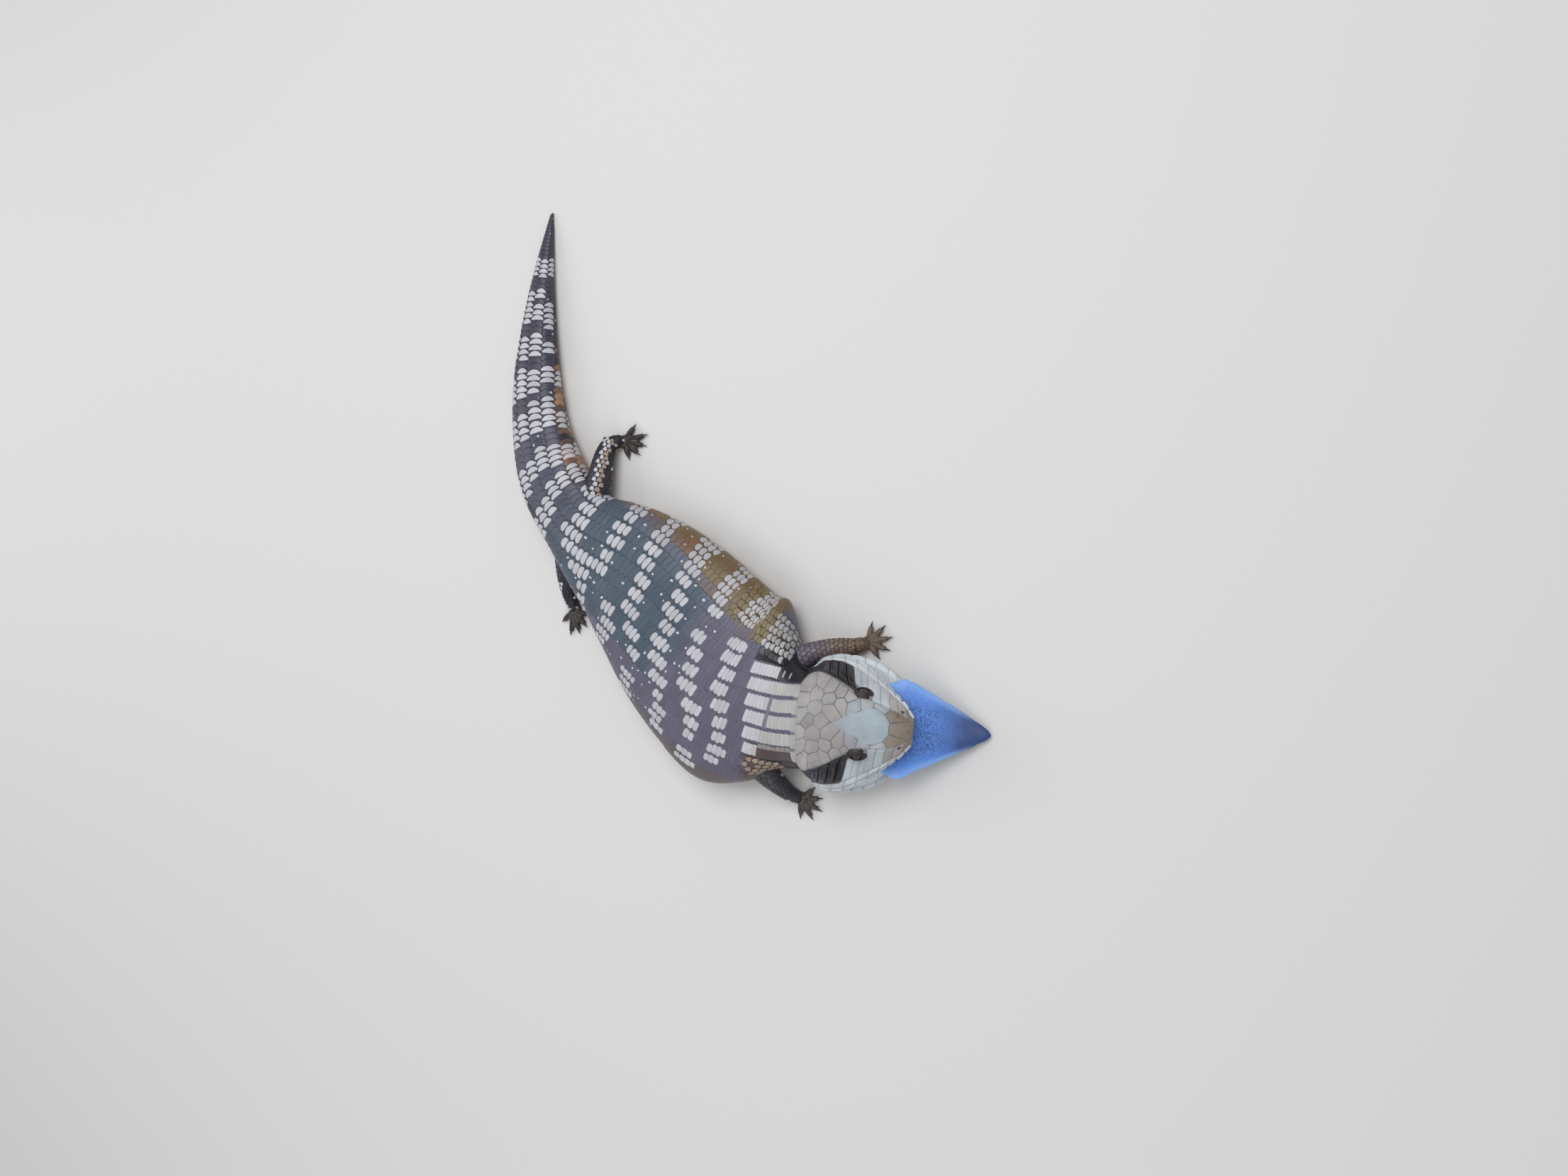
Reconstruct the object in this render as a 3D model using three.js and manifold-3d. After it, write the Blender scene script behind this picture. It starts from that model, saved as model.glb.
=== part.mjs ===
// A blue-tongued skink at life size, flattened on its belly, with its mouth open and its tongue out.
// Millimetres, +Z up. +X runs from the tail towards the head, +Y to the animal's left.
// The origin is on the floor, under the middle of the back, where the belly rests.

import * as THREE from "three";
import { mergeVertices } from "three/addons/utils/BufferGeometryUtils.js";
import Module from "manifold-3d";

const wasm = await Module();
wasm.setup();

// Clearances
const GAP = 0.3;
const HALF_GAP = GAP / 2;

// The back, from the skull to the tip of the tail. at: distance along the back.
// bearing: way towards the head, in degrees from +X. half: half width. back: height of the back.
// wide: height of the widest line. under: clearance below the belly.
const BACK = [
  { name: "skull", at: 0, bearing: 47.5, half: 29, back: 44, wide: 22, under: 9 },
  { name: "neck", at: 13, bearing: 38, half: 33, back: 42, wide: 20.5, under: 6 },
  { name: "nape", at: 26, bearing: 31, half: 48, back: 39.5, wide: 19, under: 3 },
  { name: "shoulder", at: 48, bearing: 22.5, half: 63, back: 38, wide: 17.5, under: 0 },
  { name: "chest", at: 74, bearing: 9, half: 61, back: 37, wide: 17, under: 0 },
  { name: "middle", at: 108, bearing: 4.5, half: 57.5, back: 36.5, wide: 16.5, under: 0 },
  { name: "waist", at: 146, bearing: 10, half: 49, back: 35, wide: 16, under: 0 },
  { name: "loin", at: 181, bearing: 16, half: 38, back: 32, wide: 15, under: 0 },
  { name: "hip", at: 214, bearing: 4, half: 27, back: 29, wide: 14, under: 0 },
  { name: "tail_root", at: 251, bearing: -13, half: 25, back: 26.5, wide: 13, under: 0 },
  { name: "tail_thick", at: 286, bearing: -27.5, half: 20.5, back: 24, wide: 11.5, under: 0 },
  { name: "tail_mid", at: 321, bearing: -36.5, half: 17, back: 20.5, wide: 10, under: 0 },
  { name: "tail_thin", at: 356, bearing: -41, half: 12.3, back: 16, wide: 8, under: 0 },
  { name: "tail_end", at: 387, bearing: -44, half: 8, back: 11.5, wide: 5.7, under: 0 },
  { name: "tail_point", at: 412, bearing: -44.5, half: 4.4, back: 7, wide: 3.5, under: 0 },
  { name: "tip", at: 435, bearing: -43.5, half: 0.8, back: 1.9, wide: 1, under: 0 },
];
const ORIGIN_AT = 108;
const BACK_END = 435;
const WALK_STEP = 0.5;

// Roundness of a cross-section above and below its widest line, and how far the belly is pressed flat
const ROUND_TOP = 2.2;
const ROUND_BELLY = 2.4;
const BELLY_PRESS = 1.18;

// Lengths of the body as nodes, with the spacing of their rings and the points round a ring
const LENGTHS = [
  { node: "neck", from: 0, to: 30, step: 4, around: 36 },
  { node: "torso_front", from: 30, to: 90, step: 7.5, around: 36 },
  { node: "torso_middle", from: 90, to: 150, step: 10, around: 36 },
  { node: "torso_rear", from: 150, to: 222, step: 9, around: 34 },
  { node: "tail_base", from: 222, to: 278, step: 8, around: 28 },
  { node: "tail_middle", from: 278, to: 350, step: 9, around: 24 },
  { node: "tail_point", from: 350, to: BACK_END, step: 9, around: 18 },
];

// Cross-sections of the skull and upper jaw in the head's own frame: at is forward of the skull's back.
// Each pair is a distance out from the middle and a height.
const SKULL = [
  { at: 0, crown: 44, edge: [19, 41], temple: [27, 31.5], cheek: [29, 24], lip: [28.8, 20.5], palate: 20.5 },
  { at: 5, crown: 45.5, edge: [24.5, 41], temple: [31, 33], cheek: [34, 25.5], lip: [33.5, 20.5], palate: 20.5 },
  { at: 13, crown: 47, edge: [24.5, 43], temple: [31.5, 35], cheek: [36, 27], lip: [36.5, 21], palate: 21 },
  { at: 21, crown: 48, edge: [22.3, 45], temple: [29.5, 37], cheek: [35.5, 28], lip: [36.5, 22], palate: 23 },
  { at: 30, crown: 48.3, edge: [19, 45.6], temple: [25.5, 38.6], cheek: [32.5, 29.5], lip: [34.5, 23.5], palate: 26 },
  { at: 38, crown: 47.6, edge: [15.4, 45.2], temple: [21, 39.6], cheek: [28.5, 31], lip: [30.5, 25.5], palate: 28 },
  { at: 46.5, crown: 46, edge: [12.8, 43.6], temple: [17.5, 39], cheek: [23.8, 32], lip: [25.2, 27.5], palate: 29.7 },
  { at: 55, crown: 43.4, edge: [10.6, 41.2], temple: [14.5, 37.3], cheek: [18.6, 32.8], lip: [19.2, 29.3], palate: 31 },
  { at: 62, crown: 40.6, edge: [8.2, 38.8], temple: [11.2, 36.3], cheek: [13.6, 33.4], lip: [13.8, 30.5], palate: 31.6 },
  { at: 67, crown: 38, edge: [5, 36.8], temple: [6.9, 35.6], cheek: [8.2, 34], lip: [8.2, 31.8], palate: 32.2 },
];
const SNOUT_TIP = { at: 69.4, up: 34.8 };
// The crown's right edge and temple, as a share of the left
const RIGHT_SHARE = [
  { at: 13, share: 1 },
  { at: 22, share: 0.95 },
  { at: 31, share: 0.88 },
  { at: 40, share: 0.87 },
  { at: 48, share: 0.93 },
  { at: 56, share: 1 },
];
// The head leans to its left above this height, coming in from the neck over this length
const LEAN = { degrees: 8.5, height: 20, over: 13 };

// Cross-sections of the lower jaw and throat, in the same frame
const JAW = [
  { at: 0, floor: 20.2, lip: [28.8, 20.2], side: [28.5, 16.5], chin: [19, 10.2], keel: 9 },
  { at: 5, floor: 20.2, lip: [33.5, 20.2], side: [33, 15.5], chin: [22, 8.6], keel: 7.6 },
  { at: 13, floor: 20.2, lip: [36.5, 20.7], side: [36.5, 15], chin: [25, 7.4], keel: 6.4 },
  { at: 21, floor: 18, lip: [36.8, 20.6], side: [37.3, 14.6], chin: [26, 6.4], keel: 5.4 },
  { at: 30, floor: 15.5, lip: [35.5, 18], side: [36.3, 13], chin: [25, 5.6], keel: 4.6 },
  { at: 39, floor: 13.5, lip: [32.6, 16], side: [33.6, 11.5], chin: [22, 5], keel: 4 },
  { at: 48, floor: 12, lip: [27.4, 14.6], side: [28.4, 10.6], chin: [17.5, 4.6], keel: 3.7 },
  { at: 55, floor: 11.2, lip: [20, 13.6], side: [21, 10], chin: [12, 4.8], keel: 4 },
  { at: 60, floor: 10.8, lip: [11, 12.8], side: [11.8, 9.6], chin: [7, 5.6], keel: 5 },
];
const CHIN_TIP = { at: 62.5, up: 9.2 };

// The tongue's middle line, half width and half thickness, forward and out over the lower lip
const TONGUE = [
  { at: 28, out: 0, up: 20.6, half: 17, thick: 2.3 },
  { at: 38, out: 0, up: 20.6, half: 22, thick: 2.5 },
  { at: 48, out: 0.5, up: 19.8, half: 26, thick: 2.5 },
  { at: 55, out: 0.6, up: 18.8, half: 28.6, thick: 2.4 },
  { at: 60, out: 0.6, up: 17.3, half: 27.5, thick: 2.3 },
  { at: 67, out: 0.7, up: 14.6, half: 23.5, thick: 2.2 },
  { at: 76, out: 0.7, up: 11.2, half: 18.5, thick: 2 },
  { at: 87, out: 0.7, up: 7.2, half: 12.5, thick: 1.8 },
  { at: 97, out: 0.7, up: 4.3, half: 6.5, thick: 1.5 },
  { at: 103, out: 0.5, up: 2.9, half: 2.8, thick: 1.1 },
];
const TONGUE_TIP = { at: 105, out: 0.4, up: 2.4 };

// Eyeballs sit in sockets, under lids that leave a long slit open
const EYE = { at: 39.5, left: 16.8, right: 15, up: 40.7, radius: 4.2, facing: [0.15, 0.78, 0.58] };
// The lids' outside, as half sizes along the slit, outward and across it, and the slit's half sizes
const LIDS = { long: 6.4, out: 5.3, across: 5, slitLong: 3.7, slitHigh: 2.1 };

const NOSTRIL = { at: 63, out: 10.2, up: 37.4, long: 1.3, high: 1, deep: 1.6 };
const EAR = { at: 3.6, out: 34, up: 27, long: 1.8, high: 3, deep: 2.6, lobe: 1.3, lobes: 3 };

// Shields of the crown, as the middle of each: forward of the skull's back, and out to each side
const CROWN_SHIELDS = {
  interparietal: [18, 0],
  occipital: [9.5, 0],
  frontoparietal: [23.8, 6.4],
  parietal: [13.5, 7.2],
  nuchal: [4.2, 5],
  nuchal_outer: [5, 13.5],
  temporal_rear: [7, 21],
  temporal_inner: [13, 15.5],
  temporal_middle: [15.5, 22],
  temporal_front: [21.5, 19.5],
  supraocular_rear: [22.6, 13.6],
  supraocular_middle: [29.6, 11],
  supraocular_front: [37, 11],
  brow_rear: [28.5, 17],
  brow_middle: [34, 15.2],
  brow_front: [43.5, 13],
  prefrontal: [52, 11.5],
  internasal: [61.5, 0],
  nasal: [59.5, 7.5],
};
// The large frontal shield, as the points of its left side from its rear corner to its front edge
const FRONTAL = [[25, 0], [33, 4.6], [40, 7.2], [44.5, 9.9], [49.5, 10.1], [54.5, 7.6], [57.8, 3.4]];
const PLATE = { groove: 0.35, edge: 0.4, middle: 0.8, root: 1.3, side: 7 };

// Rows of shields down the side of the head: where each shield ends, forward of the skull's back.
// from and to: how far down a cross-section, where 1 is the crown's edge, 2 the temple, 3 the cheek, 4 the lip.
const SIDE_ROWS = [
  { name: "temporal_fold", from: 1.12, to: 2.45, ends: [7, 13.5, 19, 24, 29, 33.5], slant: 3.5, lift: 1.5 },
  { name: "upper_labial", from: 3.08, to: 3.86, ends: [22, 29, 36, 42.5, 48.5, 54.5, 60], slant: 1.5, lift: 0.6 },
  { name: "loreal", from: 1.15, to: 2.9, ends: [46.5, 51.5, 56.5], slant: 1, lift: 0.6 },
];
// The row of shields along the lower lip, where 1 is the lip and 2 the side of the jaw
const LOWER_LABIALS = { from: 1.12, to: 1.95, ends: [22, 30, 37, 44, 50, 55.5], slant: 1, lift: 0.6 };

// Legs: joints in the head's frame for the arms, in the part's frame for the hind legs, with limb radii
const ARM_LEFT = [
  { at: -24, out: 28, up: 20, radius: 9 },
  { at: -8, out: 37, up: 15.5, radius: 7.4 },
  { at: 8, out: 43, up: 9.5, radius: 5.8 },
  { at: 22, out: 45, up: 7, radius: 4.8 },
];
const ARM_RIGHT = [
  { at: -38, out: -24, up: 20, radius: 9 },
  { at: -29, out: -35, up: 17, radius: 8 },
  { at: -22, out: -43, up: 11.5, radius: 6.4 },
  { at: -16, out: -49, up: 6.5, radius: 4.8 },
];
const LEG_LEFT = [
  { at: -100, out: -8, up: 14, radius: 10 },
  { at: -112, out: 8, up: 13, radius: 8.6 },
  { at: -124, out: 21, up: 10.5, radius: 7 },
  { at: -132, out: 31, up: 6.5, radius: 5 },
];
const LEG_RIGHT = [
  { at: -100, out: -34, up: 12, radius: 9 },
  { at: -89, out: -45, up: 11, radius: 7.6 },
  { at: -79, out: -54, up: 8.5, radius: 6.2 },
  { at: -70, out: -60, up: 6, radius: 4.8 },
];

// Feet: which way each points, in degrees from +X, and for each toe its turn from that way and its length
const FOREFOOT = {
  reach: 7,
  palm: [5.6, 4.9, 3.4],
  toeRadius: 1.75,
  toes: [[74, 6], [38, 8], [6, 9], [-26, 8.5], [-62, 6.5]],
};
const HINDFOOT = {
  reach: 8.5,
  palm: [6.6, 5.4, 3.8],
  toeRadius: 1.9,
  toes: [[76, 6.5], [40, 8.5], [12, 10], [-14, 11], [-56, 7.5]],
};
const CLAW_LENGTH = 3.4;
const CLAW_RADIUS = 0.95;
const FEET = {
  forefoot_left: { limb: "foreleg_left", points: 70, shape: FOREFOOT, mirror: -1 },
  forefoot_right: { limb: "foreleg_right", points: 18, shape: FOREFOOT, mirror: 1 },
  hindfoot_left: { limb: "hindleg_left", points: 50, shape: HINDFOOT, mirror: -1 },
  hindfoot_right: { limb: "hindleg_right", points: -38, shape: HINDFOOT, mirror: 1 },
};

const radians = THREE.MathUtils.degToRad;

// Value at a distance along a list of rows, on smooth curves through the rows
function along(rows, read, at) {
  const last = rows.length - 1;
  const place = THREE.MathUtils.clamp(at, rows[0].at, rows[last].at);
  let i = 0;
  while (i < last - 1 && place >= rows[i + 1].at) i += 1;
  const slope = (k) => {
    const before = rows[Math.max(k - 1, 0)];
    const after = rows[Math.min(k + 1, last)];
    return (read(after) - read(before)) / (after.at - before.at);
  };
  const span = rows[i + 1].at - rows[i].at;
  const t = (place - rows[i].at) / span;
  const t2 = t * t;
  const t3 = t2 * t;
  return (
    (2 * t3 - 3 * t2 + 1) * read(rows[i]) +
    (t3 - 2 * t2 + t) * span * slope(i) +
    (3 * t2 - 2 * t3) * read(rows[i + 1]) +
    (t3 - t2) * span * slope(i + 1)
  );
}

// The back as a walk from the skull, moved so that its middle is over the origin
const walk = [];
{
  let x = 0;
  let y = 0;
  for (let at = 0; at <= BACK_END; at += WALK_STEP) {
    walk.push({ at, x, y });
    const bearing = radians(along(BACK, (row) => row.bearing, at + WALK_STEP / 2));
    x -= Math.cos(bearing) * WALK_STEP;
    y -= Math.sin(bearing) * WALK_STEP;
  }
  const middle = walk[ORIGIN_AT / WALK_STEP];
  const shift = { x: middle.x, y: middle.y };
  for (const step of walk) {
    step.x -= shift.x;
    step.y -= shift.y;
  }
}

// Point of the back on the floor, with the ways forward and to the left
function backFrame(at) {
  const bearing = radians(along(BACK, (row) => row.bearing, at));
  return {
    x: along(walk, (step) => step.x, at),
    y: along(walk, (step) => step.y, at),
    forward: [Math.cos(bearing), Math.sin(bearing)],
    left: [-Math.sin(bearing), Math.cos(bearing)],
  };
}

const power = (value, exponent) => Math.sign(value) * Math.abs(value) ** exponent;

// Height and distance out of a body cross-section, at an angle from the crest towards the left
function bodySection(at, angle, grow = 0) {
  const half = along(BACK, (row) => row.half, at) + grow;
  const back = along(BACK, (row) => row.back, at) + grow;
  const wide = along(BACK, (row) => row.wide, at);
  const under = Math.max(along(BACK, (row) => row.under, at), 0) - grow;
  const above = Math.cos(angle) >= 0;
  const exponent = 2 / (above ? ROUND_TOP : ROUND_BELLY);
  const reach = above ? back - wide : (wide - under) * BELLY_PRESS;
  return {
    out: half * power(Math.sin(angle), exponent),
    up: Math.max(wide + reach * power(Math.cos(angle), exponent), under),
  };
}

function bodyRing(at, around, grow = 0) {
  const frame = backFrame(at);
  const ring = [];
  for (let k = 0; k < around; k += 1) {
    const { out, up } = bodySection(at, (k / around) * 2 * Math.PI, grow);
    ring.push(new THREE.Vector3(frame.x + frame.left[0] * out, frame.y + frame.left[1] * out, up));
  }
  return ring;
}

// The head's frame: its back stands on the end of the spine
const headFrame = backFrame(0);
function fromHead(at, out, up) {
  const { x, y, forward, left } = headFrame;
  const lean = radians(LEAN.degrees) * THREE.MathUtils.smoothstep(at, 0, LEAN.over);
  const over = up - LEAN.height;
  const across = out * Math.cos(lean) + Math.max(over, 0) * Math.sin(lean);
  const height = LEAN.height + over * Math.cos(lean) - out * Math.sin(lean);
  return new THREE.Vector3(x + forward[0] * at + left[0] * across, y + forward[1] * at + left[1] * across, height);
}

// Closed body through rings of points, with flat ends fanned from their middles or drawn to a tip
function loft(rings, { startTip, endTip } = {}) {
  const around = rings[0].length;
  const vertices = rings.flat();
  const index = [];
  for (let i = 0; i < rings.length - 1; i += 1) {
    for (let k = 0; k < around; k += 1) {
      const a = i * around + k;
      const b = i * around + ((k + 1) % around);
      index.push(a, b, b + around, a, b + around, a + around);
    }
  }
  const close = (ring, base, tip, flip) => {
    const middle = ring.reduce((sum, p) => sum.add(p), new THREE.Vector3()).divideScalar(around);
    vertices.push(tip ?? middle);
    const hub = vertices.length - 1;
    for (let k = 0; k < around; k += 1) {
      const a = base + k;
      const b = base + ((k + 1) % around);
      index.push(...(flip ? [a, b, hub] : [b, a, hub]));
    }
  };
  close(rings[0], 0, startTip, false);
  close(rings[rings.length - 1], (rings.length - 1) * around, endTip, true);
  return solid(vertices, index);
}

// A manifold from points and triangles, turned right way out
function solid(vertices, index) {
  let volume = 0;
  for (let i = 0; i < index.length; i += 3) {
    const [a, b, c] = [vertices[index[i]], vertices[index[i + 1]], vertices[index[i + 2]]];
    volume += a.dot(new THREE.Vector3().crossVectors(b, c));
  }
  const triVerts = Uint32Array.from(index);
  if (volume < 0) {
    for (let i = 0; i < triVerts.length; i += 3) {
      [triVerts[i], triVerts[i + 1]] = [triVerts[i + 1], triVerts[i]];
    }
  }
  const vertProperties = new Float32Array(vertices.length * 3);
  vertices.forEach((p, i) => p.toArray(vertProperties, i * 3));
  return new wasm.Manifold(new wasm.Mesh({ numProp: 3, vertProperties, triVerts }));
}

// A three.js geometry as a manifold
function solidOf(geometry) {
  geometry.deleteAttribute("normal");
  geometry.deleteAttribute("uv");
  const merged = mergeVertices(geometry, 1e-4);
  const position = merged.attributes.position;
  const vertices = [];
  for (let i = 0; i < position.count; i += 1) {
    vertices.push(new THREE.Vector3().fromBufferAttribute(position, i));
  }
  return solid(vertices, Array.from(merged.index.array));
}

const joined = (parts) => parts.reduce((whole, part) => whole.add(part));
const largest = (whole) => whole.decompose().sort((a, b) => b.volume() - a.volume())[0];

// The finished sub-parts
const skink = new THREE.Group();
function addNode(name, whole, look) {
  const mesh = largest(whole.simplify(0.04)).getMesh();
  const geometry = new THREE.BufferGeometry();
  geometry.setAttribute("position", new THREE.BufferAttribute(mesh.vertProperties, 3));
  geometry.setIndex(new THREE.BufferAttribute(mesh.triVerts, 1));
  const node = new THREE.Mesh(geometry, new THREE.MeshStandardMaterial(look));
  node.name = name;
  skink.add(node);
}

const SCALES = { color: 0x6b6a78, roughness: 0.55, metalness: 0 };
const SHIELDS = { color: 0xb9b9b6, roughness: 0.45, metalness: 0 };
const TONGUE_SKIN = { color: 0x3f6fd0, roughness: 0.4, metalness: 0 };
const EYEBALL = { color: 0x3a1d14, roughness: 0.1, metalness: 0 };

// Rings of the body between two places, at an even spacing
function bodyRings(from, to, step, around, grow = 0) {
  const count = Math.max(1, Math.round((to - from) / step));
  const rings = [];
  for (let i = 0; i <= count; i += 1) {
    rings.push(bodyRing(from + ((to - from) * i) / count, around, grow));
  }
  return rings;
}

function addBody() {
  for (const { node, from, to, step, around } of LENGTHS) {
    const start = from + HALF_GAP;
    const isTip = to === BACK_END;
    const rings = bodyRings(start, isTip ? to : to - HALF_GAP, step, around);
    addNode(node, loft(rings), SCALES);
  }
}

// Smooth curve through the points of a closed outline, with so many steps between each two
function smoothLoop(points, steps) {
  const count = points.length;
  const out = [];
  points.forEach((p1, i) => {
    const p0 = points[(i + count - 1) % count];
    const p2 = points[(i + 1) % count];
    const p3 = points[(i + 2) % count];
    for (let k = 0; k < steps[i]; k += 1) {
      const t = k / steps[i];
      const mix = (a, b, c, d) =>
        0.5 * (2 * b + (c - a) * t + (2 * a - 5 * b + 4 * c - d) * t * t + (3 * b - a - 3 * c + d) * t * t * t);
      out.push([mix(p0[0], p1[0], p2[0], p3[0]), mix(p0[1], p1[1], p2[1], p3[1])]);
    }
  });
  return out;
}

// Outline of a head cross-section: named pairs down the left side, and back up the right
const NARROWED = ["edge", "temple"];
const rightShare = (at) => along(RIGHT_SHARE, (row) => row.share, at);
function headOutline(rows, names, at, top, bottom, steps) {
  const pair = (name) => [0, 1].map((k) => along(rows, (row) => row[name][k], at));
  const left = names.map(pair);
  const share = rightShare(at);
  const right = left.map(([out, up], i) => [NARROWED.includes(names[i]) ? -out * share : -out, up]).reverse();
  const crown = [0, along(rows, (row) => row[top], at)];
  const base = [0, along(rows, (row) => row[bottom], at)];
  return smoothLoop([crown, ...left, base, ...right], [...steps, ...steps.slice().reverse()]);
}

const SKULL_NAMES = ["edge", "temple", "cheek", "lip"];
const SKULL_STEPS = [4, 2, 3, 2, 3];
const JAW_NAMES = ["lip", "side", "chin"];
const JAW_STEPS = [3, 2, 3, 4];
const skullOutline = (at, steps = SKULL_STEPS) => headOutline(SKULL, SKULL_NAMES, at, "crown", "palate", steps);
const jawOutline = (at, steps = JAW_STEPS) => headOutline(JAW, JAW_NAMES, at, "floor", "keel", steps);

// Rings of the skull or jaw, evenly spaced and closed to a tip in front
function headLoft(outline, end, step, tip) {
  const count = Math.round(end / step);
  const rings = [];
  for (let i = 0; i <= count; i += 1) {
    const at = HALF_GAP + ((end - HALF_GAP) * i) / count;
    rings.push(outline(at).map(([out, up]) => fromHead(at, out, up)));
  }
  return loft(rings, { endTip: fromHead(tip.at, 0, tip.up) });
}

// A surface of the head: the point at a distance forward, and so far down the outline of the section there
const SURFACE_STEPS = 24;
function headSurface(outline, names) {
  const steps = Array(names.length + 1).fill(SURFACE_STEPS);
  const cache = new Map();
  const section = (at) => {
    if (!cache.has(at)) cache.set(at, outline(at, steps));
    return cache.get(at);
  };
  const flat = (at, down) => {
    const points = section(at);
    const place = down * SURFACE_STEPS;
    const i = Math.floor(place);
    const [a, b] = [i, i + 1].map((k) => points[(k + points.length) % points.length]);
    return a.map((value, k) => value + (b[k] - value) * (place - i));
  };
  const point = (at, down) => fromHead(at, ...flat(at, down));
  const normal = (at, down) => {
    const forward = point(at + 0.5, down).sub(point(at - 0.5, down));
    const across = point(at, down + 0.03).sub(point(at, down - 0.03));
    return forward.cross(across).normalize();
  };
  // How far down the outline a distance out is reached
  const downTo = (at, out) => {
    const side = Math.sign(out || 1);
    let down = 0;
    while (down < 1.9 && flat(at, down * side)[0] * side < out * side) down += 0.02;
    return down * side;
  };
  return { point, normal, downTo };
}

// A raised shield: its outline on a surface, its edge and middle lifted, and its root sunk below the surface
function plate(outline, surface, lift) {
  const middle = [0, 1].map((k) => outline.reduce((sum, p) => sum + p[k], 0) / outline.length);
  const towards = (p, share) => p.map((value, k) => value + (middle[k] - value) * share);
  const raised = ([at, down], height) =>
    surface.point(at, down).addScaledVector(surface.normal(at, down), height);
  const rings = [
    outline.map((p) => raised(p, -PLATE.root)),
    outline.map((p) => raised(p, PLATE.edge)),
  ];
  if (lift > PLATE.middle) rings.push(outline.map((p) => raised(towards(p, 0.4), lift)));
  return loft(rings, { endTip: raised(middle, lift) });
}

// Outline with a point added wherever a side is longer than a given length
function divided(points, longest) {
  return points.flatMap((p, i) => {
    const q = points[(i + 1) % points.length];
    const count = Math.max(1, Math.round(Math.hypot(q[0] - p[0], q[1] - p[1]) / longest));
    return Array.from({ length: count }, (_, k) => p.map((value, j) => value + ((q[j] - value) * k) / count));
  });
}

// The part of an outline on the near side of a line, given by a point on it and the way to the far side
function clipped(points, [px, py], [nx, ny]) {
  const side = points.map(([x, y]) => (x - px) * nx + (y - py) * ny);
  return points.flatMap((p, i) => {
    const j = (i + 1) % points.length;
    const kept = side[i] <= 0 ? [p] : [];
    if (side[i] <= 0 === side[j] <= 0) return kept;
    const t = side[i] / (side[i] - side[j]);
    return [...kept, p.map((value, k) => value + (points[j][k] - value) * t)];
  });
}

// Outlines of the crown's shields in plan: each is the ground nearest its middle, less the frontal shield
function crownOutlines() {
  const mirrored = ([at, out]) => [at, -out];
  const middles = Object.values(CROWN_SHIELDS).flatMap((p) => (p[1] === 0 ? [p] : [p, mirrored(p)]));
  const frontal = [...FRONTAL, ...FRONTAL.slice(1).map(mirrored).reverse()];
  const edge = (at) => along(SKULL, (row) => row.edge[0], at) + 0.6;
  const stops = [1, 7, 13, 20, 27, 34, 41, 48, 55, 61, 65];
  const right = stops.map((at) => [at, -edge(at) * rightShare(at)]).reverse();
  const crown = [...stops.map((at) => [at, edge(at)]), ...right];
  const outlines = middles.map((middle) => {
    let cell = crown;
    for (const other of middles) {
      if (other === middle) continue;
      const away = [other[0] - middle[0], other[1] - middle[1]];
      const length = Math.hypot(...away);
      const way = away.map((value) => value / length);
      const reach = length / 2 - PLATE.groove;
      cell = clipped(cell, middle.map((value, k) => value + way[k] * reach), way);
      if (cell.length === 0) return cell;
    }
    // Cut back from the side of the frontal shield that faces this one
    let facing = null;
    frontal.forEach((p, i) => {
      const q = frontal[(i + 1) % frontal.length];
      const along = [q[0] - p[0], q[1] - p[1]];
      const length = Math.hypot(...along);
      const inward = [along[1] / length, -along[0] / length];
      const distance = -((middle[0] - p[0]) * inward[0] + (middle[1] - p[1]) * inward[1]);
      if (!facing || distance > facing.distance) facing = { distance, p, inward };
    });
    const rim = facing.p.map((value, k) => value - facing.inward[k] * 2 * PLATE.groove);
    return clipped(cell, rim, facing.inward);
  });
  return [frontal, ...outlines.filter((cell) => cell.length > 2)];
}

// Outlines of one row of side shields, as pairs of a distance forward and a place down the section
function rowOutlines({ from, to, ends, slant }) {
  const outlines = [];
  for (let i = 0; i + 1 < ends.length; i += 1) {
    const start = ends[i] + PLATE.groove;
    const end = ends[i + 1] - PLATE.groove;
    const middle = (from + to) / 2;
    outlines.push([
      [start, from],
      [end, from],
      [end - slant / 2, middle],
      [end - slant, to],
      [start - slant, to],
      [start - slant / 2, middle],
    ]);
  }
  return outlines;
}

const bothSides = (outlines) => [...outlines, ...outlines.map((points) => points.map(([at, down]) => [at, -down]))];

// A ball stretched along three ways at a place on the head
function pit(middle, ways, radii, around = 8, high = 5) {
  const ball = new THREE.SphereGeometry(1, around, high);
  const turn = new THREE.Matrix4().makeBasis(...ways);
  ball.applyMatrix4(new THREE.Matrix4().makeScale(...radii)).applyMatrix4(turn);
  return solidOf(ball.translate(middle.x, middle.y, middle.z));
}

// Ways forward, outward and upward at a place on the side of the head
function sideWays(surface, at, down) {
  const out = surface.normal(at, down);
  const forward = surface.point(at + 0.5, down).sub(surface.point(at - 0.5, down)).normalize();
  const up = new THREE.Vector3().crossVectors(forward, out).normalize();
  return [new THREE.Vector3().crossVectors(out, up).normalize(), out, up];
}

// The eye's middle and its ways along the slit, outward and across the slit
function eyePlace(side) {
  const place = side > 0 ? EYE.left : EYE.right;
  const middle = fromHead(EYE.at, place * side, EYE.up);
  const [ahead, outward, upward] = EYE.facing;
  const out = fromHead(EYE.at + ahead, (place + outward) * side, EYE.up + upward).sub(middle).normalize();
  const forward = fromHead(EYE.at + 1, place * side, EYE.up - 0.3).sub(middle).normalize();
  const across = new THREE.Vector3().crossVectors(forward, out).normalize();
  const long = new THREE.Vector3().crossVectors(out, across).normalize();
  return { middle, out, across, long };
}

const ball = (middle, radius, around, high) =>
  solidOf(new THREE.SphereGeometry(radius, around, high).translate(middle.x, middle.y, middle.z));

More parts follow.
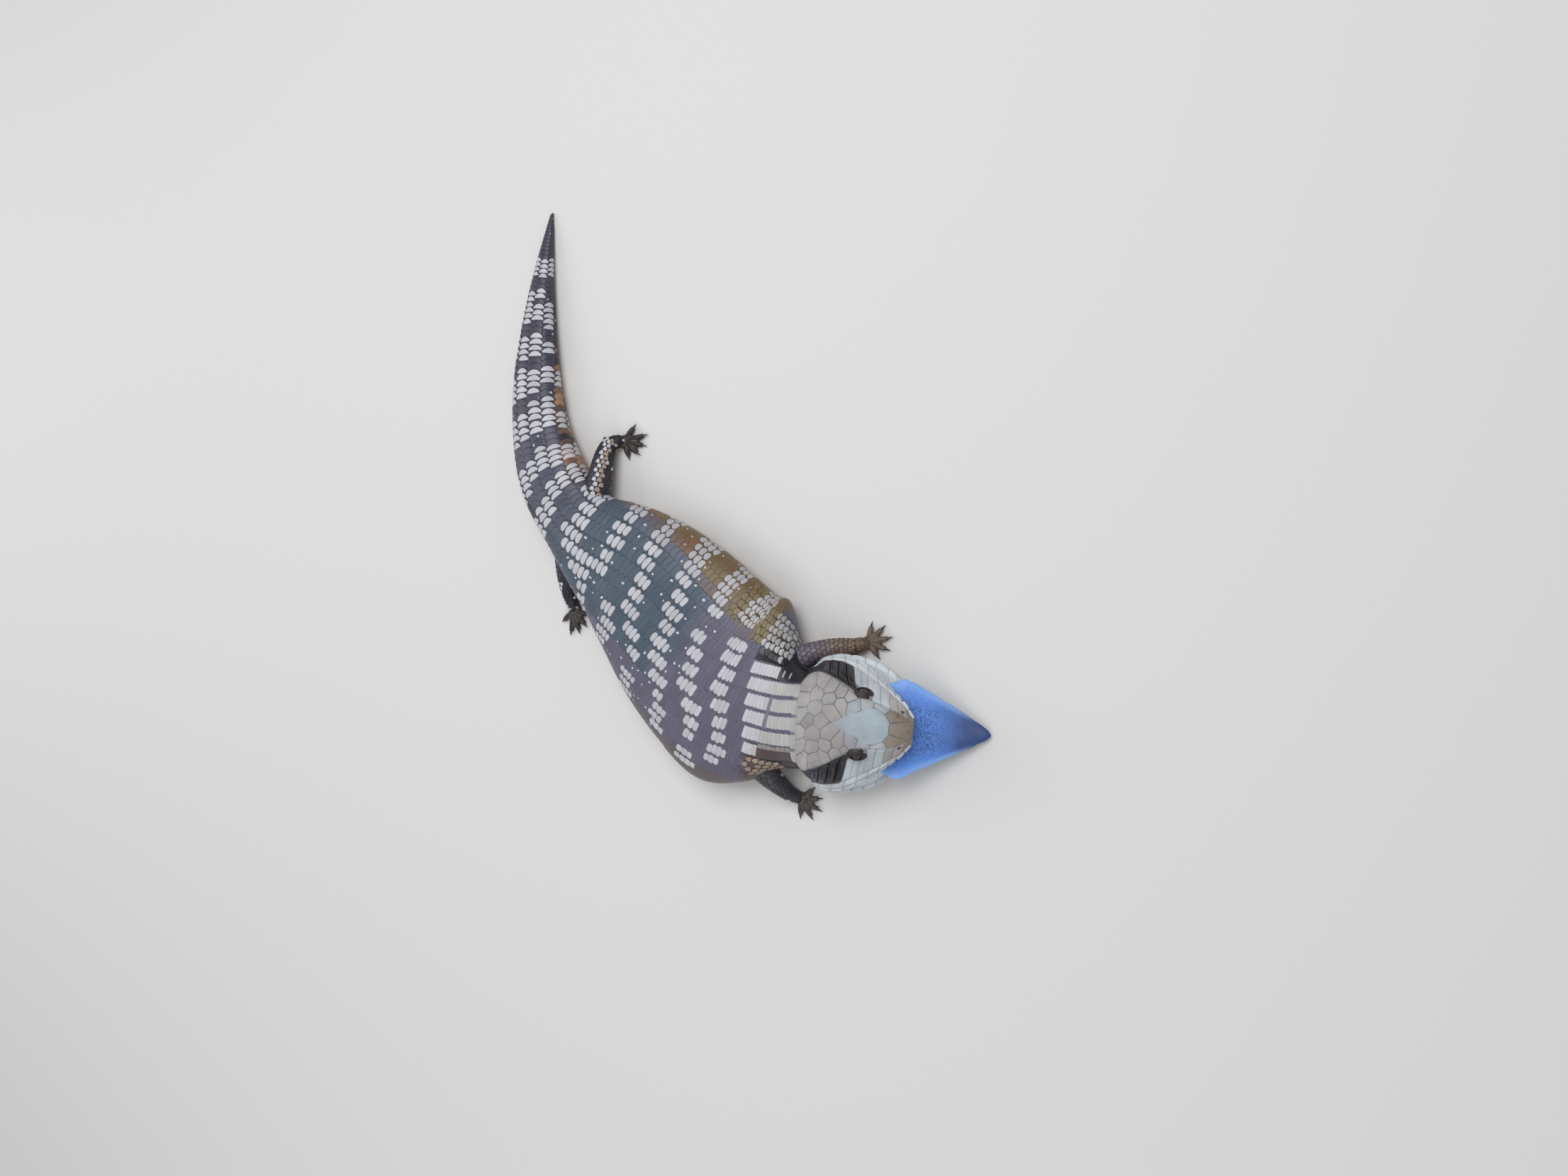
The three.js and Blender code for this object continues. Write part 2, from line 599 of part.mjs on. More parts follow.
// The opening between the lids, as a widening slot from inside the eyeball outwards
function slit({ middle, out, across, long }) {
  const around = 10;
  const rings = [2.5, 4.2, 7.5].map((reach) =>
    Array.from({ length: around }, (_, k) => {
      const angle = (k / around) * 2 * Math.PI;
      const wide = LIDS.slitLong * Math.cos(angle);
      const high = LIDS.slitHigh * power(Math.sin(angle), 1.3);
      return middle.clone().addScaledVector(out, reach).addScaledVector(long, wide).addScaledVector(across, high);
    }),
  );
  return loft(rings);
}

function addHead() {
  const surface = headSurface(skullOutline, SKULL_NAMES);
  let skull = headLoft(skullOutline, SKULL[SKULL.length - 1].at, 3.9, SNOUT_TIP);
  const plates = crownOutlines().map((outline) => {
    const onSurface = divided(outline, PLATE.side).map(([at, out]) => [at, surface.downTo(at, out)]);
    return plate(onSurface, surface, PLATE.middle);
  });
  for (const row of SIDE_ROWS) {
    plates.push(...bothSides(rowOutlines(row)).map((outline) => plate(outline, surface, row.lift)));
  }
  skull = joined([skull, ...plates]);

  for (const side of [1, -1]) {
    const eye = eyePlace(side);
    skull = skull
      .add(pit(eye.middle, [eye.long, eye.out, eye.across], [LIDS.long, LIDS.out, LIDS.across], 12, 8))
      .subtract(ball(eye.middle, EYE.radius + GAP, 12, 7))
      .subtract(slit(eye));
    const nose = sideWays(surface, NOSTRIL.at, side * 1.6);
    const nostril = fromHead(NOSTRIL.at, NOSTRIL.out * side, NOSTRIL.up);
    skull = skull.subtract(pit(nostril, nose, [NOSTRIL.long, NOSTRIL.deep, NOSTRIL.high]));
    const ways = sideWays(surface, EAR.at, side * 2.6);
    const ear = fromHead(EAR.at, EAR.out * side, EAR.up);
    for (let i = 0; i < EAR.lobes; i += 1) {
      const lift = (i - (EAR.lobes - 1) / 2) * EAR.lobe * 1.3;
      const lobe = ear.clone().addScaledVector(ways[0], EAR.long + EAR.lobe * 0.6).addScaledVector(ways[2], lift);
      skull = skull.add(pit(lobe, ways, [EAR.lobe, EAR.lobe, EAR.lobe]));
    }
    skull = skull.subtract(pit(ear, ways, [EAR.long, EAR.deep, EAR.high]));
    addNode(side > 0 ? "eye_left" : "eye_right", ball(eye.middle, EYE.radius, 14, 8), EYEBALL);
  }
  addNode("head", skull, SHIELDS);

  const jawSurface = headSurface(jawOutline, JAW_NAMES);
  const labials = bothSides(rowOutlines(LOWER_LABIALS)).map((outline) =>
    plate(outline, jawSurface, LOWER_LABIALS.lift),
  );
  const jaw = headLoft(jawOutline, JAW[JAW.length - 1].at, 3.6, CHIN_TIP);
  // Where the lips meet, the jaw is cut clear of the skull
  const clear = [-GAP, GAP].reduce((whole, shift) => whole.add(skull.translate(shift, 0, -GAP)), skull);
  addNode("lower_jaw", joined([jaw, ...labials]).subtract(clear), SHIELDS);
}

// The tongue as a flat lens along its middle line
const TONGUE_RINGS = 15;
const TONGUE_AROUND = 16;
function addTongue() {
  const start = TONGUE[0].at;
  const end = TONGUE[TONGUE.length - 1].at;
  const read = (name, at) => along(TONGUE, (row) => row[name], at);
  const rings = [];
  for (let i = 0; i <= TONGUE_RINGS; i += 1) {
    const at = start + ((end - start) * i) / TONGUE_RINGS;
    const ring = [];
    for (let k = 0; k < TONGUE_AROUND; k += 1) {
      const angle = (k / TONGUE_AROUND) * 2 * Math.PI;
      const out = read("out", at) + read("half", at) * Math.sin(angle);
      ring.push(fromHead(at, out, read("up", at) + read("thick", at) * Math.cos(angle)));
    }
    rings.push(ring);
  }
  addNode("tongue", loft(rings, { endTip: fromHead(TONGUE_TIP.at, TONGUE_TIP.out, TONGUE_TIP.up) }), TONGUE_SKIN);
}

const FLOOR_CUT = solidOf(new THREE.BoxGeometry(900, 600, 100).translate(0, 0, -50));
const UPWARD = new THREE.Vector3(0, 0, 1);

// Rings round a smooth path through joints, each with a radius and, where it is flattened, a height
function limbRings(joints, from, to, count, around) {
  const rows = joints.map((joint, i) => ({ ...joint, at: i }));
  const read = (name, t) => along(rows, (row) => row[name], t);
  const place = (t) => new THREE.Vector3(read("x", t), read("y", t), read("z", t));
  const rings = [];
  for (let i = 0; i <= count; i += 1) {
    const t = from + ((to - from) * i) / count;
    const ahead = place(t + 0.01).sub(place(t - 0.01)).normalize();
    const side = new THREE.Vector3().crossVectors(ahead, UPWARD).normalize();
    const up = new THREE.Vector3().crossVectors(side, ahead);
    const radius = read("radius", t);
    const ring = [];
    for (let k = 0; k < around; k += 1) {
      const angle = (k / around) * 2 * Math.PI;
      const point = place(t).addScaledVector(side, radius * Math.sin(angle));
      ring.push(point.addScaledVector(up, radius * Math.cos(angle)));
    }
    rings.push(ring);
  }
  return rings;
}

// A foot: a flat pad, five toes that arch to the floor, and their claws
function foot(wrist, { points, shape, mirror }) {
  const way = (turn) => {
    const angle = radians(points + turn * mirror);
    return new THREE.Vector3(Math.cos(angle), Math.sin(angle), 0);
  };
  const start = wrist.place;
  const pad = start.clone().setZ(0).addScaledVector(way(0), shape.reach);
  const at = (place, z, radius) => ({ x: place.x, y: place.y, z, radius });
  const middle = start.clone().lerp(pad, 0.55);
  const palm = limbRings(
    [
      at(start, start.z, wrist.radius),
      at(middle, start.z * 0.5 + 0.6, wrist.radius * 0.9),
      at(pad, 2, wrist.radius * 0.55),
    ],
    0, 2, 3, 8,
  );
  const toeRadius = shape.toeRadius;
  const [long, wide, high] = shape.palm;
  const sole = pit(new THREE.Vector3(pad.x, pad.y, 1.5), [way(0), way(90), UPWARD], [long, wide, high - 1.5], 10, 5);
  const parts = [loft(palm), sole];
  for (const [turn, length] of shape.toes) {
    const ahead = way(turn);
    const reach = (distance) => pad.clone().addScaledVector(ahead, distance);
    const knuckle = 3 + length * 0.45;
    const tip = 3 + length;
    const joints = [
      at(reach(0), 2, toeRadius * 1.1),
      at(reach(knuckle), 2.6, toeRadius),
      at(reach(tip), 1.3, toeRadius * 0.85),
      at(reach(tip + 0.4), 1.5, CLAW_RADIUS),
      at(reach(tip + CLAW_LENGTH * 0.5), 1.4, CLAW_RADIUS * 0.7),
    ];
    const claw = reach(tip + CLAW_LENGTH).setZ(0.4);
    parts.push(loft(limbRings(joints, 0, 4, 4, 5), { endTip: claw }));
  }
  return joined(parts);
}

function addLegs() {
  const inPart = ({ at, out, up, radius }) => ({ x: at, y: out, z: up, radius });
  const inHead = ({ at, out, up, radius }) => {
    const { x, y, forward, left } = headFrame;
    return { x: x + forward[0] * at + left[0] * out, y: y + forward[1] * at + left[1] * out, z: up, radius };
  };
  const body = loft(bodyRings(0, 300, 7, 44, 1.5 * GAP));
  const legs = {
    foreleg_left: ARM_LEFT.map(inHead),
    foreleg_right: ARM_RIGHT.map(inHead),
    hindleg_left: LEG_LEFT.map(inPart),
    hindleg_right: LEG_RIGHT.map(inPart),
  };
  for (const [name, joints] of Object.entries(legs)) {
    const limb = loft(limbRings(joints, 0, 3, 10, 12));
    addNode(name, limb.subtract(body).subtract(FLOOR_CUT), SCALES);
  }
  for (const [name, plan] of Object.entries(FEET)) {
    const joints = legs[plan.limb];
    const [before, end] = joints.slice(-2).map(({ x, y, z }) => new THREE.Vector3(x, y, z));
    const ahead = end.clone().sub(before).normalize();
    // The foot is cut clear of the limb, grown by the gap all round and past its flat end
    const past = end.clone().addScaledVector(ahead, GAP);
    const grown = joints.map((joint) => ({ ...joint, radius: joint.radius + GAP }));
    Object.assign(grown[joints.length - 1], { x: past.x, y: past.y, z: past.z });
    const clear = loft(limbRings(grown, 0, 3, 10, 12));
    const wrist = { place: end.clone().addScaledVector(ahead, -1), radius: joints[joints.length - 1].radius };
    addNode(name, foot(wrist, plan).subtract(clear).subtract(FLOOR_CUT), SCALES);
  }
}

addBody();
addHead();
addTongue();
addLegs();

export default skink;
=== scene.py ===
"""The looks of a blue-tongued skink at life size, over the solids of its CAD part.

Millimetres in the tables and sums, metres in the meshes. +X runs from the tail to the head, +Y to
the animal's left and +Z up. The floor is at height 0.
"""

import math
from collections import namedtuple

import bpy
import numpy as np
from mathutils import Matrix, Vector, kdtree


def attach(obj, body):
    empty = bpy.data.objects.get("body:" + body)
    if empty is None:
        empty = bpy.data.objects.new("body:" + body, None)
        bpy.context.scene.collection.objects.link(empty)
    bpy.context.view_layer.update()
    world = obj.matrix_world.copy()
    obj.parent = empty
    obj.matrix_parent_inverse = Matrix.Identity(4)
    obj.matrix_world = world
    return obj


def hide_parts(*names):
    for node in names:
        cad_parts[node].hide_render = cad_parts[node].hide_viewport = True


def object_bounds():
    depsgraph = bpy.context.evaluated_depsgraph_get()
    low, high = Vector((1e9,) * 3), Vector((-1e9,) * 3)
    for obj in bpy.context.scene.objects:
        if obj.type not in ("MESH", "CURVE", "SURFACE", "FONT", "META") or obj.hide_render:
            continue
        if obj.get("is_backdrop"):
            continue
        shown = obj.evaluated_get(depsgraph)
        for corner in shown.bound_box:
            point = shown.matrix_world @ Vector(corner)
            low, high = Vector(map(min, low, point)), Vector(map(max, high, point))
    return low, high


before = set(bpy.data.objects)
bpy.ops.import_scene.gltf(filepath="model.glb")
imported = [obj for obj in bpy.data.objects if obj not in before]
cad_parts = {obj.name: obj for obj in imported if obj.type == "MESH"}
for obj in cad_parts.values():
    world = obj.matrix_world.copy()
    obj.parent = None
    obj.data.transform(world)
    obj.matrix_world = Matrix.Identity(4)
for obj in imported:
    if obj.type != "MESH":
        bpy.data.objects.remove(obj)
cad_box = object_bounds()

bl_info = {
    "name": "Blue-tongued skink",
    "version": (1, 0, 0),
    "blender": (4, 5, 0),
    "location": "3D View > Sidebar > Skink",
    "description": "Skin, scales, head shields, eyes, tongue and claws of a life-size skink",
    "category": "Object",
}

MM = 0.001


def seen(red, green, blue):
    """A colour as it is seen, from 0 to 255, given in linear light."""
    share = np.array([red, green, blue], float) / 255
    linear = np.where(share <= 0.04045, share / 12.92, ((share + 0.055) / 1.055) ** 2.4)
    return (*linear.tolist(), 1.0)


# Measures of the body, the same as those of the CAD part

# at: distance along the back from the skull. bearing: way towards the head, in degrees from +X.
# half: half width. back: height of the back. wide: height of the widest line. under: clearance.
BACK = [
    (0, 47.5, 29, 44, 22, 9),
    (13, 38, 33, 42, 20.5, 6),
    (26, 31, 48, 39.5, 19, 3),
    (48, 22.5, 63, 38, 17.5, 0),
    (74, 9, 61, 37, 17, 0),
    (108, 4.5, 57.5, 36.5, 16.5, 0),
    (146, 10, 49, 35, 16, 0),
    (181, 16, 38, 32, 15, 0),
    (214, 4, 27, 29, 14, 0),
    (251, -13, 25, 26.5, 13, 0),
    (286, -27.5, 20.5, 24, 11.5, 0),
    (321, -36.5, 17, 20.5, 10, 0),
    (356, -41, 12.3, 16, 8, 0),
    (387, -44, 8, 11.5, 5.7, 0),
    (412, -44.5, 4.4, 7, 3.5, 0),
    (435, -43.5, 0.8, 1.9, 1, 0),
]
# The distance along the back that lies over the origin, that of the tail's end, and the walk's step
ORIGIN_AT = 108
BACK_END = 435
WALK_STEP = 0.5
# How square the curves of the back and belly are, and how far the belly's would go past the floor
ROUND_TOP = 2.2
ROUND_BELLY = 2.4
BELLY_PRESS = 1.18

# Cross-sections of the skull: forward of its back, the crown's height, then out and height of the
# crown's edge, the temple, the cheek and the lip, and the height of the palate
SKULL = [
    (0, 44, 19, 41, 27, 31.5, 29, 24, 28.8, 20.5, 20.5),
    (5, 45.5, 24.5, 41, 31, 33, 34, 25.5, 33.5, 20.5, 20.5),
    (13, 47, 24.5, 43, 31.5, 35, 36, 27, 36.5, 21, 21),
    (21, 48, 22.3, 45, 29.5, 37, 35.5, 28, 36.5, 22, 23),
    (30, 48.3, 19, 45.6, 25.5, 38.6, 32.5, 29.5, 34.5, 23.5, 26),
    (38, 47.6, 15.4, 45.2, 21, 39.6, 28.5, 31, 30.5, 25.5, 28),
    (46.5, 46, 12.8, 43.6, 17.5, 39, 23.8, 32, 25.2, 27.5, 29.7),
    (55, 43.4, 10.6, 41.2, 14.5, 37.3, 18.6, 32.8, 19.2, 29.3, 31),
    (62, 40.6, 8.2, 38.8, 11.2, 36.3, 13.6, 33.4, 13.8, 30.5, 31.6),
    (67, 38, 5, 36.8, 6.9, 35.6, 8.2, 34, 8.2, 31.8, 32.2),
]
SNOUT_TIP = (69.4, 34.8)
# How wide the crown's right side is as a share of its left one
RIGHT_SHARE = [(13, 1), (22, 0.95), (31, 0.88), (40, 0.87), (48, 0.93), (56, 1)]
# How far the head leans to its left, the height it leans about, and how far forward it leans in full
LEAN_DEGREES = 8.5
LEAN_HEIGHT = 20
LEAN_OVER = 13

# Cross-sections of the lower jaw: forward of the skull's back, height of the mouth's floor, out and
# height of the lip, the side and the chin, and the height of the keel
JAW = [
    (0, 20.2, 28.8, 20.2, 28.5, 16.5, 19, 10.2, 9),
    (5, 20.2, 33.5, 20.2, 33, 15.5, 22, 8.6, 7.6),
    (13, 20.2, 36.5, 20.7, 36.5, 15, 25, 7.4, 6.4),
    (21, 18, 36.8, 20.6, 37.3, 14.6, 26, 6.4, 5.4),
    (30, 15.5, 35.5, 18, 36.3, 13, 25, 5.6, 4.6),
    (39, 13.5, 32.6, 16, 33.6, 11.5, 22, 5, 4),
    (48, 12, 27.4, 14.6, 28.4, 10.6, 17.5, 4.6, 3.7),
    (55, 11.2, 20, 13.6, 21, 10, 12, 4.8, 4),
    (60, 10.8, 11, 12.8, 11.8, 9.6, 7, 5.6, 5),
]
CHIN_TIP = (62.5, 9.2)

# The tongue's middle line, half width and half thickness
TONGUE = [
    (28, 0, 20.6, 17, 2.3),
    (38, 0, 20.6, 22, 2.5),
    (48, 0.5, 19.8, 26, 2.5),
    (55, 0.6, 18.8, 28.6, 2.4),
    (60, 0.6, 17.3, 27.5, 2.3),
    (67, 0.7, 14.6, 23.5, 2.2),
    (76, 0.7, 11.2, 18.5, 2),
    (87, 0.7, 7.2, 12.5, 1.8),
    (97, 0.7, 4.3, 6.5, 1.5),
    (103, 0.5, 2.9, 2.8, 1.1),
    (105, 0.4, 2.4, 0.6, 0.5),
]

# Joints of the limbs as x, y, height and radius; the arms' are in the head's own frame
ARM_LEFT = [(-24, 28, 20, 9), (-8, 37, 15.5, 7.4), (8, 43, 9.5, 5.8), (22, 45, 7, 4.8)]
ARM_RIGHT = [(-38, -24, 20, 9), (-29, -35, 17, 8), (-22, -43, 11.5, 6.4), (-16, -49, 6.5, 4.8)]
LEG_LEFT = [(-100, -8, 14, 10), (-112, 8, 13, 8.6), (-124, 21, 10.5, 7), (-132, 31, 6.5, 5)]
LEG_RIGHT = [(-100, -34, 12, 9), (-89, -45, 11, 7.6), (-79, -54, 8.5, 6.2), (-70, -60, 6, 4.8)]
# Feet: reach of the pad, its half sizes, the toes' radius, and each toe's turn and length
FOREFOOT = (7, (5.6, 4.9, 3.4), 1.75, [(74, 6), (38, 8), (6, 9), (-26, 8.5), (-62, 6.5)])
HINDFOOT = (8.5, (6.6, 5.4, 3.8), 1.9, [(76, 6.5), (40, 8.5), (12, 10), (-14, 11), (-56, 7.5)])
# The way each foot points, in degrees from +X, and the side its first toe is on
FEET = {
    "fore_left": (70, FOREFOOT, -1),
    "fore_right": (18, FOREFOOT, 1),
    "hind_left": (50, HINDFOOT, -1),
    "hind_right": (-38, HINDFOOT, 1),
}
# Claws
CLAW_LENGTH = 3.4
CLAW_RADIUS = 0.95

# Eyes in the head's own frame, by side where the two differ, then the lids round them and their slit
EYE_AT = 39.5
EYE_OUT = {1: 16.8, -1: 15}
EYE_UP = 40.7
EYE_RADIUS = 4.2
EYE_FACING = (0.15, 0.78, 0.58)
LID_LONG = 6.4
LID_OUT = 4.8
LID_ACROSS = 5
SLIT_LONG = 3.5
SLIT_HIGH = 1.7
# Nostrils: distance forward and place down the cross-section, half length, half width and rim
NOSTRIL_AT = 62.6
NOSTRIL_DOWN = 1.5
NOSTRIL_LONG = 1.0
NOSTRIL_WIDE = 0.7
NOSTRIL_RIM = 0.26
# Ears in the head's own frame
EAR_AT = 3.6
EAR_OUT = 34
EAR_UP = 27

# Middles of the crown's shields: forward of the skull's back, and out to each side
CROWN_SHIELDS = {
    "interparietal": (18, 0),
    "occipital": (9.5, 0),
    "frontoparietal": (23.8, 6.4),
    "parietal": (13.5, 7.2),
    "nuchal": (4.2, 5),
    "nuchal_outer": (5, 13.5),
    "temporal_rear": (7, 21),
    "temporal_inner": (13, 15.5),
    "temporal_middle": (15.5, 22),
    "temporal_front": (21.5, 19.5),
    "supraocular_rear": (22.6, 13.6),
    "supraocular_middle": (29.6, 11),
    "supraocular_front": (37, 11),
    "brow_rear": (28.5, 17),
    "brow_middle": (34, 15.2),
    "brow_front": (43.5, 13),
    "prefrontal": (52, 11.5),
    "internasal": (61.5, 0),
    "nasal": (59.5, 7.5),
}
# The left side of the frontal shield's outline, and half the groove between shields
FRONTAL = [(25, 0), (33, 4.6), (40, 7.2), (44.5, 9.9), (49.5, 10.1), (54.5, 7.6), (57.8, 3.4)]
GROOVE = 0.05

# Columns of scales: at each distance along the back, how far the columns have slipped sideways, as
# a share of a column, and how wide a column is on the back
COLUMN_SLIP = [
    (0, 0.95), (25, 0.52), (50, 0), (77, -0.56), (105, -0.98), (137, -1.15), (172, -1.7),
    (204, -2.28), (236, -2.6), (262, -2.5), (435, -2.5),
]
COLUMN_WIDTH = [
    (0, 10), (150, 10), (172, 9.8), (204, 9.2), (236, 9.5), (262, 10), (330, 9.8), (350, 8.6),
    (370, 7.4), (395, 5.6), (412, 4), (435, 2.2),
]
# How far out over the back each column width reaches: columns are narrower on the flanks
SPREAD_FLAT = [0, 10, 20, 30, 40, 50, 60, 250]
SPREAD_REAL = [0, 10, 20, 29.3, 37.5, 44, 50, 164]
# Distance between the scales of a column
ROW_PITCH = [
    (0, 2.4), (20, 2.6), (50, 2.7), (77, 3.3), (104, 3.7), (137, 3.9), (171, 4.5), (205, 4.8),
    (236, 4.5), (260, 4.4), (290, 4.8), (318, 4.2), (342, 4.3), (365, 3.8), (395, 3.3), (420, 2.4),
    (435, 2.0),
]
# How far every second column lies behind its neighbours, as a share of the distance between scales
STAGGER = [(0, 0), (55, 0.05), (100, 0.3), (140, 0.38), (175, 0.5), (435, 0.5)]
# How high the scales stand, how dark their rims are painted as shade, and how wide and long their pale part
# is
RELIEF = [(0, 0.22), (60, 0.3), (120, 0.42), (200, 0.65), (435, 0.75)]
RIM_SHADE = [(0, 0.2), (60, 0.25), (120, 0.4), (170, 0.55), (215, 0.85), (435, 0.93)]
PALE_WIDE = [(0, 0.8), (60, 0.79), (100, 0.75), (200, 0.78), (250, 0.98), (435, 1.0)]
PALE_LONG = [(0, 0.34), (70, 0.31), (110, 0.26), (190, 0.245), (240, 0.225), (435, 0.22)]
# How square the ovals are: 2 is an ellipse, and less is pointed
PALE_POWER = [(0, 2.8), (190, 2.6), (240, 1.75), (435, 1.7)]

# Pale blotches: middle along the back, middle out from the crest along the skin, half length
BLOTCHES = [
    (43, -43, 3.5), (41.5, -35.5, 5.5), (43, -27, 4.2), (46.3, -18, 4.3), (50.5, -9.5, 4.8),
    (54.7, 0, 5.3), (56.7, 10.5, 5.2), (60, 20.5, 7.8), (62.5, 29.5, 8.3), (69.7, 38, 7.5),
    (69.5, 44, 9), (67, 50, 12), (64, 56, 13), (66, 63, 12), (66, 70, 11), (66, 77, 10),
    (56, -56, 5), (57, -48, 4.5), (58.5, -40, 3.5), (60.5, -32.5, 4), (64.8, -24, 4.8),
    (73, -15.5, 6.6), (77.7, -6, 5.8), (81.8, 5.5, 4.3), (87.8, 17, 4.6), (91, 27, 4.6),
    (95, 35, 4.8), (98, 42, 4.8), (98.5, 48, 5), (98.5, 54, 5), (99, 60, 6), (99, 67, 6), (99, 74, 6),
    (74, -62, 6), (75, -56, 6), (78, -50, 5.5), (79.5, -43, 4.5), (84, -37, 3.3), (90.5, -28, 7.5),
    (99.3, -19.5, 6.8), (103.8, -9.5, 5.8), (107, -0.5, 4.8), (111.8, 11, 6.3), (115.3, 20, 6),
    (120.5, 30, 4.6), (123.5, 38, 5), (125, 44, 5.5), (126, 50, 5.5), (127, 56, 5.5), (127, 62, 5.5),
    (128, 69, 5.5), (128, 76, 5.5),
    (104, -62, 6), (105, -56, 6), (106, -49, 6), (107, -42, 6.5), (112, -33, 5), (124.8, -22.5, 8.3),
    (135.7, -13, 7.3), (137.3, -2, 5.8), (142, 11, 5.8), (146.3, 21, 5), (148.6, 30, 4.4),
    (149.5, 38, 4.6), (150.5, 44, 5), (151.5, 50, 5), (152.5, 56, 5), (153.5, 62, 5), (154, 69, 5),
    (142, -62, 7), (143, -56, 7), (144, -46, 7), (143.5, -37, 7.5), (143.5, -29, 7.3),
    (150, -20.5, 7),
    (171.5, -7, 7), (171.7, 1, 5.3), (171.7, 14, 4.8), (173.5, 23, 6), (174, 32, 6), (174, 40, 6),
    (175, 46, 6), (176, 52, 6), (177, 58, 6),
    (188.5, -13, 8.5), (186, -20, 9), (178, -28, 5.5), (175, -36, 5), (173, -44, 5), (172, -50, 5),
    (200, -11, 4.5), (204.5, -3, 7), (204, 6, 8), (206, 16, 6.5), (212, 23, 11), (209, 30, 7),
    (208, 36, 7), (208, 42, 7),
    (239, 15, 6.5), (236, 4, 7), (230, -6, 7.5), (226.5, -15, 7.5), (226, -25, 6.5), (228, -34, 6.5),
    (239, 24, 7), (238, 32, 7),
    (260.5, 15, 9), (261, 5, 7), (257.5, -5, 7), (254, -15, 8.5), (252, -25, 8), (253, -34, 8),
    (260, 24, 7), (260, 32, 7),
    (292, 15, 11), (289.5, 5, 11), (288, -5, 10), (285, -15, 8), (286, -25, 8), (288, 24, 7),
    (288, 32, 7), (287, -33, 7),
    (320, 15, 7.5), (318, 5, 8), (316, -5, 8.5), (313, -15, 8), (316, -25, 8), (319, 23, 6),
    (340, 15, 4), (342, 5, 7.5), (341, -5, 7.5), (341, -15, 7.5), (345, -24, 7.5),
    (363, 9, 8.5), (363, 1, 5.5), (364, -7, 5.5), (366, -15, 5.5), (365, -22, 5),
    (377, 6, 4.5), (377, -1, 3), (378, -9, 5.5), (379, -15, 4.5),
    (396, 5, 6), (396, 0, 5.5), (396, -6, 6), (396, -12, 6), (396, 10, 5),
]


class Rows:
    """Smooth curves through a table whose first column is a distance."""

    def __init__(self, names, table):
        table = np.array(table, float)
        self.at = table[:, 0]
        self.values = {name: table[:, i + 1] for i, name in enumerate(names)}

    def read(self, name, at):
        """The value of a column at a distance, or at many."""
        stops, value = self.at, self.values[name]
        slope = np.empty_like(value)
        slope[1:-1] = (value[2:] - value[:-2]) / (stops[2:] - stops[:-2])
        slope[0] = (value[1] - value[0]) / (stops[1] - stops[0])
        slope[-1] = (value[-1] - value[-2]) / (stops[-1] - stops[-2])
        at = np.clip(np.asarray(at, float), stops[0], stops[-1])
        i = np.clip(np.searchsorted(stops, at, side="right") - 1, 0, len(stops) - 2)
        gap = stops[i + 1] - stops[i]
        t = (at - stops[i]) / gap
        start = (2 * t**3 - 3 * t**2 + 1) * value[i] + (t**3 - 2 * t**2 + t) * gap * slope[i]
        return start + (3 * t**2 - 2 * t**3) * value[i + 1] + (t**3 - t**2) * gap * slope[i + 1]


UP = np.array([0.0, 0.0, 1.0])


def unit(vector):
    """A vector, or many, of length one and the same way."""
    return vector / np.linalg.norm(vector, axis=-1, keepdims=True)


def straight(table, at):
    """The value at a distance on straight lines through a table of pairs."""
    table = np.array(table, float)
    return np.interp(at, table[:, 0], table[:, 1])


def eased(value):
    """A share from 0 to 1, eased at both ends."""
    value = np.clip(value, 0, 1)
    return value * value * (3 - 2 * value)


back = Rows(("bearing", "half", "back", "wide", "under"), BACK)
SKULL_PAIRS = ("edge", "temple", "cheek", "lip")
JAW_PAIRS = ("lip", "side", "chin")
skull = Rows(("crown", *(pair + end for pair in SKULL_PAIRS for end in ("_out", "_up")), "palate"), SKULL)
jaw = Rows(("floor", *(pair + end for pair in JAW_PAIRS for end in ("_out", "_up")), "keel"), JAW)
tongue = Rows(("out", "up", "half", "thick"), TONGUE)
right_share = Rows(("share",), RIGHT_SHARE)


def walked():
    """The back as a walk from the skull, moved so that its middle is over the origin."""
    at = np.arange(0, BACK_END + WALK_STEP / 2, WALK_STEP)
    way = np.radians(back.read("bearing", at + WALK_STEP / 2))
    x = np.r_[0, -np.cumsum(np.cos(way) * WALK_STEP)[:-1]]
    y = np.r_[0, -np.cumsum(np.sin(way) * WALK_STEP)[:-1]]
    middle = round(ORIGIN_AT / WALK_STEP)
    return at, x - x[middle], y - y[middle]


WALK_AT, WALK_X, WALK_Y = walked()


def back_frame(at):
    """Place of the back on the floor and its bearing in radians."""
    way = np.radians(back.read("bearing", at))
    return np.interp(at, WALK_AT, WALK_X), np.interp(at, WALK_AT, WALK_Y), way


def power(value, exponent):
    """A power that keeps the value's sign."""
    return np.sign(value) * np.abs(value) ** exponent


def body_point(at, angle):
    """Point of the body's outside at an angle from the crest towards the left."""
    half, high, wide, under = (back.read(name, at) for name in ("half", "back", "wide", "under"))
    under = np.maximum(under, 0)
    cosine, sine = np.cos(angle), np.sin(angle)
    exponent = np.where(cosine >= 0, 2 / ROUND_TOP, 2 / ROUND_BELLY)
    reach = np.where(cosine >= 0, high - wide, (wide - under) * BELLY_PRESS)
    out = half * power(sine, exponent)
    up = np.maximum(wide + reach * power(cosine, exponent), under)
    x, y, way = back_frame(at)
    return np.stack([x - np.sin(way) * out, y + np.cos(way) * out, up + 0 * x], -1)


HEAD_X, HEAD_Y, HEAD_WAY = (float(value) for value in back_frame(0.0))


